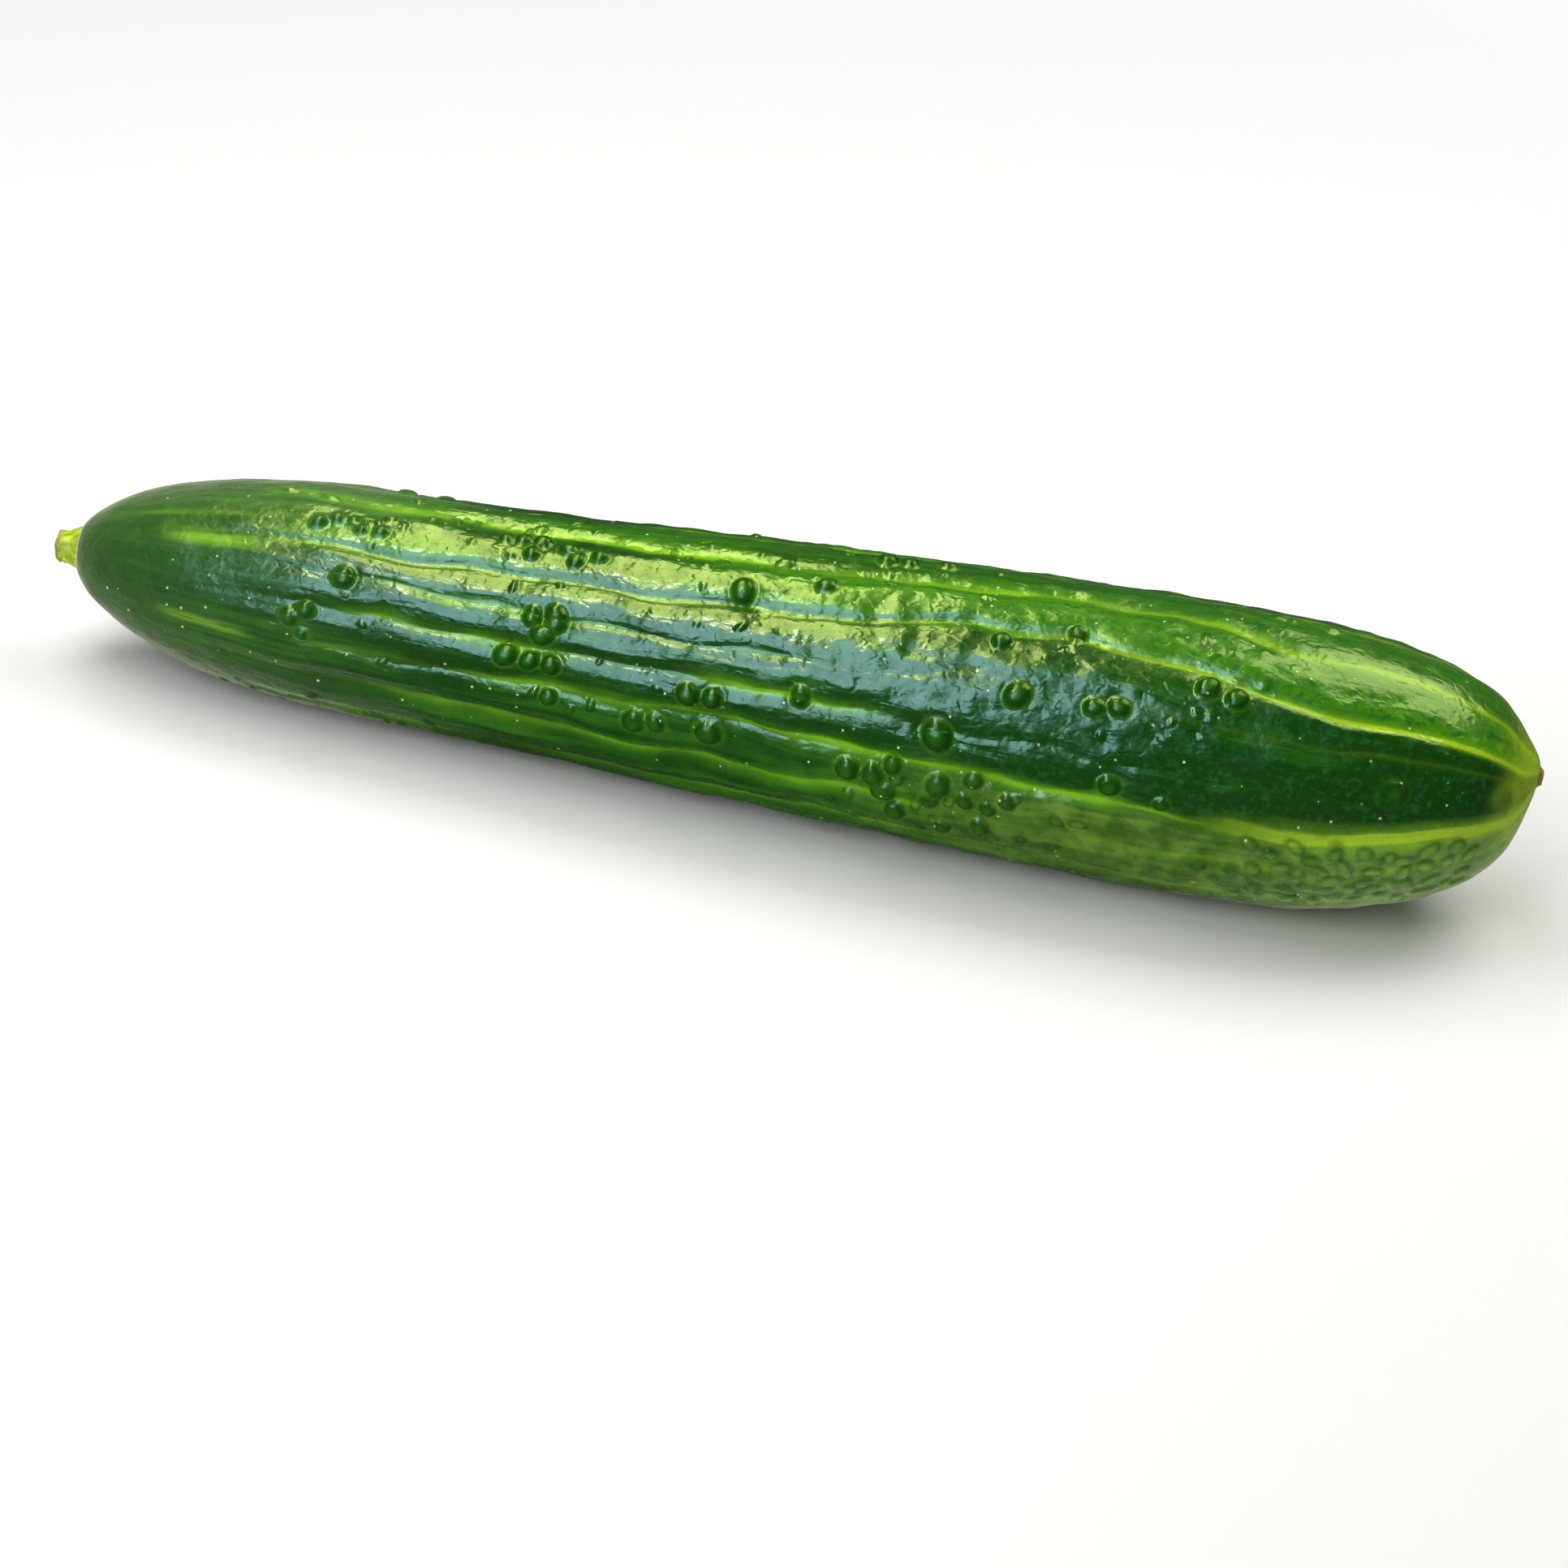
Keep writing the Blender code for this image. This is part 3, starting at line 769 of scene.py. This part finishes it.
def objectPlace(tree):
    return addNode(tree, "ShaderNodeTexCoord", {}).outputs["Object"]


def attributeOf(tree, name, output="Fac"):
    return addNode(tree, "ShaderNodeAttribute", {}, attribute_name=name).outputs[output]


def colour(red, green, blue):
    # 0 to 255, as on a screen
    def linear(value):
        value /= 255
        return value / 12.92 if value <= 0.04045 else ((value + 0.055) / 1.055) ** 2.4
    return (linear(red), linear(green), linear(blue), 1)


skinFinish = {
    "darkGreen": colour(14, 65, 5),
    "midGreen": colour(52, 116, 10),
    "brightGreen": colour(84, 147, 12),
    "lime": colour(130, 190, 20),
    "yellow": colour(172, 206, 34),
    "olive": colour(62, 100, 24),
    "oliveLight": colour(112, 152, 54),
    "dull": colour(40, 85, 20),  # the smooth shoulder at the stalk
    "bluish": colour(24, 92, 34),
    "tip": colour(186, 224, 16),
    "speck": colour(238, 255, 190),
    # how strongly each of them covers what lies under it
    "cover": {
        "dull": 0.35, "olive": 0.85, "shade": 0.8, "glow": 0.75, "line": 0.85, "halo": 0.6, "stripe": 0.8,
        "streak": 0.75, "tip": 0.55, "wartShade": 0.8, "crown": 0.5, "rim": 0.3, "bumpShadeRim": 0.6, "speck": 0.65,
    },
    # patterns: how fine (along the fruit and across it, or the same all over), detail, roughness
    "streaks": ((26, 620, 620), 4.0, 0.62),
    "broad": ((26, 130, 130), 2.0, 0.5),
    "wavy": ((130, 260, 260), 2.0, 0.5),
    "hairlines": ((90, 1100, 1100), 2.0, 0.5),
    "blotches": (240, 3.0, 0.6),
    "mottle": (900, 2.0, 0.5),
    "gloss": (420, 2.0, 0.5),
    "specks": 400.0,
    # how much the patterns change the tone of the green, the olive and the edge of the streaks
    "toneShares": (1.3, 1.1, 0.45),
    "oliveStreaks": 0.6,
    "edgeStreaks": 2.0,
    # soft steps: from, to, and what they become there, where that is not 0 and 1
    "toneSteps": ((0.0, 0.8), (0.6, 1.3)),
    "oliveStep": (0.3, 0.8),
    "mottleStep": (0.50, 0.68),
    "speckStep": (0.45, 0.75),
    "glossStep": (0.3, 0.7),
    "speckSize": (0.07, 0.12, 1.0, 0.0),  # share of a cell
    "limeBreaks": (0.36, 0.62, 0.05, 1.0),
    "streakBreaks": (0.25, 0.65, 0.25, 1.0),
    "bloomBreaks": (0.35, 0.65, 0.7, 1.0),
    # how far from the middle of its groove each colour is full and gone, in millimetres, and how
    # much the waves and the streaks move it
    "lineWidths": {
        "shade": (0.3, 1.7), "glow": (0.2, 2.6), "line": (0.0, 1.0),
        "halo": (0.2, 2.2), "stripe": (0.3, 0.9),
    },
    "lineWander": (1.5, 1.6),
    "stripeWander": (1.2, 1.8),
    # soft steps along the fruit: the shoulder, the calm of the streaks at both ends, the mottle,
    # the paler olive and the tip
    "shoulder": (0.04, 0.28, 1.0, 0.0),
    "calmStalk": (0.02, 0.17, 0.15, 1.0),
    "calmFlower": (0.90, 0.99, 1.0, 0.3),
    "mottleFrom": (0.45, 0.70, 0.15, 0.7),
    "oliveFrom": (0.80, 0.95, 0.0, 0.25),
    "tipFrom": (0.968, 1.004),
    "tipWander": 0.03,
    "roughness": 0.23,
    "roughnessRange": (-0.05, 0.08),
    "shoulderRoughness": 0.34,
    "refraction": 1.5,
    "specular": 0.46,
    "wartSpecular": 0.24,
    "specularTint": (0.90, 1.0, 0.78, 1),
    "coat": 0.08,
    "coatRoughness": 0.06,
    # a waxy bloom: a sheen at the edges of the shoulder, and under the flower end
    "bloom": colour(226, 236, 200),
    "bloomRoughness": 0.42,
    "bloomShares": (0.85, 0.90, 1.0),  # over the shoulder, under it, and under the flower end
    "bloomHeight": (0.012, 0.030, 1.0, 0.0),  # metres above the floor where under becomes over
    "bloomStalk": (0.14, 0.34, 1.0, 0.0),
    "bloomFlower": (0.76, 0.92),
    # the fine relief: metres high, its crinkles, and how high the lines and specks are beside them
    "relief": 0.00016,
    "crinkles": (760, 1.5, 0.4, 0.6),
    "crinkleStretch": (0.7, 1.0, 1.0),
    "fineShare": 0.4,
}


def finishSkin(piece, finish):
    tree, shader = newMaterial(piece, "cucumber_skin")
    cover = finish["cover"]
    solid = objectPlace(tree)

    def attribute(name):
        return attributeOf(tree, name)

    def scaled(vector, scale):
        return addNode(tree, "ShaderNodeMapping", {"Vector": vector, "Scale": scale}).outputs["Vector"]

    def cloud(vector, scale, detail, roughness, distortion=0.0):
        if isinstance(scale, tuple):
            vector, scale = scaled(vector, scale), 1.0
        inputs = {"Vector": vector, "Scale": scale, "Detail": detail, "Roughness": roughness}
        node = addNode(tree, "ShaderNodeTexNoise", {**inputs, "Distortion": distortion})
        return node.outputs["Fac"]

    def spread(value, *ends):
        return softRange(tree, value, *ends)

    def sums(kind, first, second):
        return addNode(tree, "ShaderNodeMath", {0: first, 1: second}, operation=kind).outputs["Value"]

    def plus(first, second):
        return sums("ADD", first, second)

    def times(first, second):
        return sums("MULTIPLY", first, second)

    def around(value, strength):
        return times(sums("SUBTRACT", value, 0.5), strength)

    def mixed(share, first, second):
        return mixColours(tree, share, first, second)

    def painted(under, mask, strength, paint):
        return mixed(times(mask, cover[strength]), under, finish[paint])

    lay = attributeOf(tree, "lay", "Vector")
    along = attribute("along")
    # streaks run lengthwise, and are faint where they crowd together at the ends
    calm = times(spread(along, *finish["calmStalk"]), spread(along, *finish["calmFlower"]))
    streaks = plus(times(around(cloud(lay, *finish["streaks"]), 1.0), calm), 0.5)
    broad = cloud(lay, *finish["broad"])
    wavy = cloud(lay, *finish["wavy"])
    blotches = cloud(solid, *finish["blotches"])
    tone = attribute("tone")
    for pattern, share in zip((streaks, broad, blotches), finish["toneShares"]):
        tone = plus(tone, around(pattern, share))
    first, second = finish["toneSteps"]
    base = mixed(spread(tone, *first), finish["darkGreen"], finish["midGreen"])
    base = mixed(spread(tone, *second), base, finish["brightGreen"])
    shoulder = spread(along, *finish["shoulder"])
    base = painted(base, shoulder, "dull", "dull")
    mottle = times(spread(cloud(solid, *finish["mottle"]), *finish["mottleStep"]),
                   spread(along, *finish["mottleFrom"]))
    base = mixed(mottle, base, finish["bluish"])
    # the olive side: the colour of the ground spot, made paler in part as a painted reflection of the
    # floor
    pale = plus(blotches, around(streaks, finish["oliveStreaks"]))
    pale = plus(pale, spread(along, *finish["oliveFrom"]))
    groundSpotAndFloorReflection = mixed(spread(pale, *finish["oliveStep"]), finish["olive"], finish["oliveLight"])
    base = mixed(times(attribute("olive"), cover["olive"]), base, groundSpotAndFloorReflection)

    def lined(under, distance, mask, line, paint):
        nearness = spread(distance, *finish["lineWidths"][line], 1.0, 0.0)
        return painted(under, times(nearness, mask), line, paint)

    def wandering(name, moves):
        return plus(plus(attribute(name), around(wavy, moves[0])), around(streaks, moves[1]))

    # painted shade: the shaded groove is darkened with dark green along its floor
    base = lined(base, attribute("fromGroove"), attribute("shade"), "shade", "darkGreen")
    # a soft lime glow lies in each groove, with a brighter, ragged line along its floor
    wander = wandering("fromGroove", finish["lineWander"])
    lime = times(attribute("lime"), spread(broad, *finish["limeBreaks"]))
    base = lined(base, wander, lime, "glow", "brightGreen")
    base = lined(base, wander, lime, "line", "lime")
    # towards the flower the line turns into a pale stripe with a halo
    wander, yellow = wandering("fromStripe", finish["stripeWander"]), attribute("yellow")
    base = lined(base, wander, yellow, "halo", "lime")
    base = lined(base, wander, yellow, "stripe", "yellow")
    ragged = spread(plus(wavy, around(streaks, finish["edgeStreaks"])), *finish["streakBreaks"])
    base = painted(base, times(attribute("streak"), ragged), "streak", "lime")
    tip = plus(along, around(blotches, finish["tipWander"]))
    base = mixed(spread(tip, *finish["tipFrom"], 0.0, cover["tip"]), base, finish["tip"])

    # warts are painted dark, a painted shade, with a lighter crown and a thin pale ring at the foot
    base = painted(base, attribute("wartDome"), "wartShade", "darkGreen")
    base = painted(base, attribute("wartCrown"), "crown", "midGreen")
    base = painted(base, attribute("wartRim"), "rim", "brightGreen")
    # painted shade: a dark ring round the foot of each small bump
    base = painted(base, attribute("bumpShadeRim"), "bumpShadeRim", "darkGreen")

    # a pale speck lies in the middle of some of the cells
    cells = addNode(tree, "ShaderNodeTexVoronoi", {"Vector": solid, "Scale": finish["specks"]})
    split = addNode(tree, "ShaderNodeSeparateColor", {"Color": cells.outputs["Color"]})
    speck = times(spread(cells.outputs["Distance"], *finish["speckSize"]),
                  spread(split.outputs["Red"], *finish["speckStep"]))
    base = painted(base, speck, "speck", "speck")

    split = addNode(tree, "ShaderNodeSeparateXYZ", {"Vector": solid})
    low = spread(split.outputs["Z"], *finish["bloomHeight"])
    over, under, atEnd = finish["bloomShares"]
    atStalk = times(spread(along, *finish["bloomStalk"]), spread(low, 0.0, 1.0, over, under))
    atFlower = times(spread(along, *finish["bloomFlower"], 0.0, atEnd), low)
    bloom = times(sums("MAXIMUM", atStalk, atFlower), spread(streaks, *finish["bloomBreaks"]))

    even = finish["roughness"]
    least, most = finish["roughnessRange"]
    gloss = cloud(solid, *finish["gloss"])
    rough = spread(gloss, *finish["glossStep"], even + least, even + most)
    rough = plus(rough, times(shoulder, finish["shoulderRoughness"] - even))
    shine = spread(attribute("wartDome"), 0.0, 1.0, finish["specular"], finish["wartSpecular"])

    # fine relief: crinkled skin, hair-thin lengthwise lines, and the specks
    height = cloud(scaled(solid, finish["crinkleStretch"]), *finish["crinkles"])
    hairs = times(cloud(lay, *finish["hairlines"]), calm)
    for finer in (hairs, speck):
        height = plus(height, times(finer, finish["fineShare"]))
    relieved = {"Height": height, "Strength": 1.0, "Distance": finish["relief"]}
    normal = addNode(tree, "ShaderNodeBump", relieved).outputs["Normal"]
    fill(tree, shader, {
        "Base Color": base, "Roughness": rough, "IOR": finish["refraction"], "Normal": normal,
        "Specular IOR Level": shine, "Specular Tint": finish["specularTint"],
        "Coat Weight": finish["coat"], "Coat Roughness": finish["coatRoughness"],
        "Coat Normal": normal, "Sheen Weight": bloom,
        "Sheen Roughness": finish["bloomRoughness"], "Sheen Tint": finish["bloom"],
    })


finishSkin(skin, skinFinish)
print("skin finished")


stub = {
    "sides": 60,
    "rings": 26,
    "ridges": 5,
    "ridgeTurn": 0.7,
    "ridgeDepth": 0.08,  # share of the radius
    "slimness": 0.93,
    "baseRadius": 0.0032,
    "endRadius": 0.0029,
    "flare": 1.22,  # how wide it sits on the fruit
    "flareOver": (0.15, 0.6),  # share of its length in which the flare dies out
    "root": 0.0006,  # how far it is sunk into the fruit's pit
    "slant": math.radians(14),
    "slantOver": (0.3, 1.0),
    # the cut: width of its rim and of the step down, share of the radius, then how far it sinks
    "rimWidth": 0.10,
    "stepWidth": 0.10,
    "sunkEnd": 0.00045,
    "pithRings": 4,
    "pithWidth": 0.15,
    "pithRise": 0.1,  # share of the sinking that each ring of the pith rises
    "lumps": (0.00055, 400),
    "grain": (0.00010, 1500),
    "calmMiddle": 0.001,
    "droop": 0.0006,
}


def growRod(name, sides, start, step, radii):
    # a disc that faces along the fruit, extruded ring by ring, and left open in edit mode
    deselectAll()
    bpy.ops.mesh.primitive_circle_add(
        vertices=sides, radius=radii[0], fill_type="NGON", location=start, rotation=(0, math.pi / 2, 0))
    piece = bpy.context.object
    piece.name = name
    bpy.ops.object.transform_apply(location=True, rotation=True)
    bpy.ops.object.mode_set(mode="EDIT")
    bpy.ops.mesh.select_all(action="SELECT")
    middle = start.copy()
    for before, radius in zip(radii, radii[1:]):
        middle.x += step
        bpy.ops.mesh.extrude_region_move(TRANSFORM_OT_translate={"value": (step, 0, 0)})
        if radius != before:
            bpy.ops.transform.resize(value=[radius / before] * 3, center_override=middle)
    return piece


def closeRod():
    bpy.ops.mesh.merge(type="CENTER")
    bpy.ops.mesh.select_all(action="SELECT")
    bpy.ops.mesh.normals_make_consistent(inside=False)
    bpy.ops.object.mode_set(mode="OBJECT")


def makeStub():
    low, high = stubBox
    middleY, middleZ = (low.y + high.y) / 2, (low.z + high.z) / 2
    start = Vector((high.x + stub["root"], middleY, middleZ))
    radii = []
    for ring in range(stub["rings"] + 1):
        share = ring / stub["rings"]
        flared = 1 + (stub["flare"] - 1) * float(1 - smoothStep(*stub["flareOver"], share))
        radii.append((stub["baseRadius"] + (stub["endRadius"] - stub["baseRadius"]) * share) * flared)
    step = (high.x - low.x + stub["root"]) / stub["rings"]
    piece = growRod("cut_stalk", stub["sides"], start, -step, radii)
    radius = radii[-1]
    # the cut: a rim, then a shallow hollow that rises to the middle
    bpy.ops.mesh.inset(thickness=radius * stub["rimWidth"])
    bpy.ops.mesh.inset(thickness=radius * stub["stepWidth"], depth=-stub["sunkEnd"])
    for _ in range(stub["pithRings"]):
        bpy.ops.mesh.inset(thickness=radius * stub["pithWidth"], depth=stub["sunkEnd"] * stub["pithRise"])
    closeRod()
    mesh = piece.data
    lumpHeight, lumpsOften = stub["lumps"]
    grainHeight, grainOften = stub["grain"]
    for vertex in mesh.vertices:
        point = vertex.co
        share = (start.x - point.x) / (start.x - low.x)
        side = Vector((0, point.y - middleY, point.z - middleZ))
        angle = math.atan2(side.z, side.y)
        ridge = 1 + stub["ridgeDepth"] * math.cos(stub["ridges"] * angle + stub["ridgeTurn"])
        side *= ridge * stub["slimness"]
        lump = lumpHeight * noise.noise(point * lumpsOften) + grainHeight * noise.noise(point * grainOften)
        if side.length > 1e-5:
            side += side.normalized() * lump * min(1, side.length / stub["calmMiddle"])
        # the end is cut on a slant, longest at the top, and hangs a little
        slanted = math.tan(stub["slant"]) * float(smoothStep(*stub["slantOver"], share))
        lean = slanted * (side.z - stub["endRadius"])
        droop = -stub["droop"] * share * share
        vertex.co = (max(low.x, point.x - lean), middleY + side.y, middleZ + side.z + droop)
    # how far out from its middle each point lies, for the colours of the cut
    outward = [math.hypot(v.co.y - middleY, v.co.z - middleZ) / stub["endRadius"] for v in mesh.vertices]
    writeAttribute(mesh, "outward", np.array(outward))
    smoothPiece(piece)
    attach(piece, "root")
    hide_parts("stalk_stub")
    return piece


cutStalk = makeStub()
print("stalk stub made:", len(cutStalk.data.polygons), "faces")


scar = {
    "sides": 48,
    "crown": 7,
    "skirt": 1.25,  # how far its foot spreads over the tip, in radii
    "top": 0.80,
    "crownCurve": 0.7,
    "radius": 0.0015,
    "root": 0.0004,  # how far it is sunk into the tip
    "rise": 0.55,  # share of its height below the crown
    "lump": (0.00016, 1500),
    # its crown, from the edge inwards: share of the radius, and how far up or down
    "rings": [(0.25, 0.00006), (0.25, 0.0), (0.22, -0.0002), (0.2, -0.0001)],
}


def makeScar():
    low, high = scarBox
    middleY, middleZ = (low.y + high.y) / 2, (low.z + high.z) / 2
    start = Vector((low.x - scar["root"], middleY, middleZ))
    radii = []
    for ring in range(scar["crown"] + 1):
        narrowed = (scar["skirt"] - scar["top"]) * (ring / scar["crown"]) ** scar["crownCurve"]
        radii.append(scar["radius"] * (scar["skirt"] - narrowed))
    step = (high.x - low.x + scar["root"]) * scar["rise"] / scar["crown"]
    piece = growRod("flower_end_scar", scar["sides"], start, step, radii)
    for inward, up in scar["rings"]:
        bpy.ops.mesh.inset(thickness=radii[-1] * inward, depth=up)
    closeRod()
    height, often = scar["lump"]
    for vertex in piece.data.vertices:
        point = vertex.co.copy()
        side = Vector((0, point.y - middleY, point.z - middleZ))
        if side.length > 1e-5:
            side += side.normalized() * height * noise.noise(point * often)
        bulge = height * noise.noise(point * often + Vector((7, 0, 0)))
        vertex.co = (min(high.x, point.x + bulge), middleY + side.y, middleZ + side.z)
    smoothPiece(piece)
    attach(piece, "root")
    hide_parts("flower_scar")
    return piece


flowerScar = makeScar()
print("flower scar made:", len(flowerScar.data.polygons), "faces")

grainFinish = {"detail": 4.0, "roughness": 0.6, "stops": (0.32, 0.68)}
stalkFinish = {
    "light": colour(204, 218, 45),
    "dark": colour(105, 147, 20),
    "grain": 700,
    "bump": 0.0002,
    "roughness": 0.5,
    "cut": colour(196, 186, 104),
    "cutEdge": colour(140, 116, 52),
    "cutReach": (0.0014, 0.0004),  # metres from the end where the cut's colour begins and is full
    "fibres": 0.7,
    "drying": (0.75, 1.35),  # how far out the cut darkens
}
scarFinish = {
    "light": colour(178, 138, 62),
    "dark": colour(122, 92, 42),
    "grain": 1500,
    "bump": 0.0002,
    "roughness": 0.75,
}


def finishPlain(piece, name, finish):
    tree, shader = newMaterial(piece, name)
    place = objectPlace(tree)
    cloudy = addNode(tree, "ShaderNodeTexNoise", {
        "Vector": place, "Scale": finish["grain"], "Detail": grainFinish["detail"],
        "Roughness": grainFinish["roughness"],
    }).outputs["Fac"]
    ramp = addNode(tree, "ShaderNodeValToRGB", {"Fac": cloudy})
    for stop, position, tint in zip(ramp.color_ramp.elements, grainFinish["stops"], ("dark", "light")):
        stop.position = position
        stop.color = finish[tint]
    result = ramp.outputs["Color"]
    if "cut" in finish:
        # the cut end, known by how far out along the stub it lies
        split = addNode(tree, "ShaderNodeSeparateXYZ", {"Vector": place})
        begin, full = (stubBox[0].x + reach for reach in finish["cutReach"])
        ends = {"Value": split.outputs["X"], "From Min": begin, "From Max": full}
        end = addNode(tree, "ShaderNodeMapRange", ends).outputs["Result"]
        # pale pith in the middle, darker and drier towards the edge, with a few fibres
        dryness = addNode(
            tree, "ShaderNodeMath", {0: cloudy, 1: finish["fibres"], 2: attributeOf(tree, "outward")},
            operation="MULTIPLY_ADD").outputs[0]
        dryness = softRange(tree, dryness, *finish["drying"])
        cut = mixColours(tree, dryness, finish["cut"], finish["cutEdge"])
        result = mixColours(tree, end, result, cut)
    relieved = {"Height": cloudy, "Strength": 1.0, "Distance": finish["bump"]}
    normal = addNode(tree, "ShaderNodeBump", relieved).outputs["Normal"]
    fill(tree, shader, {"Base Color": result, "Roughness": finish["roughness"], "Normal": normal})


finishPlain(cutStalk, "stalk_fibre", stalkFinish)
finishPlain(flowerScar, "dry_scar", scarFinish)
print("stalk and scar finished")


studio = {
    "floor": (0.88, 0.88, 0.89, 1),
    "floorSize": 6.0,
    "floorRoughness": 0.7,
    "floorSpecular": 0.2,
    "floorFade": (0.22, 0.55),  # from here to there the floor fades into the pale backdrop
    "room": (1.0, 0.98, 0.95, 1),
    "roomLight": 0.07,
    "backdrop": (0.97, 0.97, 0.97, 1),
    "lampTint": (1.0, 0.99, 0.97),
    "glossGap": 0.01,
    # soft panels: where, what they face, width, depth, how bright as a lamp, and how bright and
    # what colour they look in the gloss of the skin
    "panels": {
        "panel_left": ((-0.220, 0.05, 0.62), (-0.220, 0.05, 0), 0.18, 0.72, 7.3, 14.5, (0.90, 1.0, 0.32)),
        "panel_right": ((0.375, 0.36, 0.62), (0.375, 0.36, 0), 0.55, 0.56, 3.9, 6.4, (0.90, 1.0, 0.42)),
        "window": ((-0.255, -0.61, 0.46), (-0.03, 0, 0.02), 0.34, 0.66, 5.4, 7.0, (0.64, 1.0, 1.42)),
        "spark": ((-0.25, -0.24, 0.55), (0, 0, 0.03), 0.06, 0.06, 0.0, 60.0, (1.0, 1.0, 0.95)),
    },
}


def addPanel(name, place, aim, width, depth, tint, radiance, inGloss):
    bpy.ops.object.light_add(type="AREA", location=place)
    lamp = bpy.context.object
    lamp.name = name
    lamp.data.shape = "RECTANGLE"
    lamp.data.size = width
    lamp.data.size_y = depth
    lamp.data.color = tint
    # a panel of this power is as bright as asked, whatever its size
    lamp.data.energy = radiance * width * depth * math.pi
    lamp.rotation_euler = (Vector(place) - Vector(aim)).to_track_quat("Z", "Y").to_euler()
    lamp.visible_camera = False
    lamp.visible_glossy = inGloss
    lamp.visible_diffuse = not inGloss


def buildStage():
    deselectAll()
    bpy.ops.mesh.primitive_plane_add(size=studio["floorSize"], location=(0, 0, 0))
    floor = bpy.context.object
    floor.name = "floor"
    floor.visible_glossy = False  # so the lower side of the fruit stays deep green
    tree, shader = newMaterial(floor, "pale_floor")
    fill(tree, shader, {
        "Base Color": studio["floor"], "Roughness": studio["floorRoughness"],
        "Specular IOR Level": studio["floorSpecular"],
    })
    # far out it fades into the backdrop, but only to the eye, so that the glow lights nothing
    place = objectPlace(tree)
    reach = addNode(tree, "ShaderNodeVectorMath", {0: place}, operation="LENGTH").outputs["Value"]
    ray = addNode(tree, "ShaderNodeLightPath", {}).outputs["Is Camera Ray"]
    far = {0: softRange(tree, reach, *studio["floorFade"]), 1: ray}
    seen = addNode(tree, "ShaderNodeMath", far, operation="MULTIPLY").outputs[0]
    glow = addNode(tree, "ShaderNodeEmission", {"Color": studio["backdrop"]}).outputs[0]
    both = addNode(tree, "ShaderNodeMixShader", {0: seen, 1: shader.outputs[0], 2: glow})
    fill(tree, tree.nodes["Material Output"], {"Surface": both.outputs[0]})

    for name, (place, aim, width, depth, bright, gloss, tint) in studio["panels"].items():
        if bright:
            addPanel(name, place, aim, width, depth, studio["lampTint"], bright, False)
        before = Vector(place) + (Vector(aim) - Vector(place)).normalized() * studio["glossGap"]
        addPanel(name + "_gloss", before, aim, width, depth, tint, gloss, True)

    world = bpy.data.worlds.new("room")
    world.use_nodes = True
    tree = world.node_tree
    room = tree.nodes["Background"]
    fill(tree, room, {"Color": studio["room"], "Strength": studio["roomLight"]})
    backdrop = addNode(tree, "ShaderNodeBackground", {"Color": studio["backdrop"]}).outputs[0]
    ray = addNode(tree, "ShaderNodeLightPath", {}).outputs["Is Camera Ray"]
    both = addNode(tree, "ShaderNodeMixShader", {0: ray, 1: room.outputs[0], 2: backdrop})
    fill(tree, tree.nodes["World Output"], {"Surface": both.outputs[0]})
    bpy.context.scene.world = world
    bpy.context.scene.view_settings.view_transform = "Standard"


buildStage()
print("stage built")
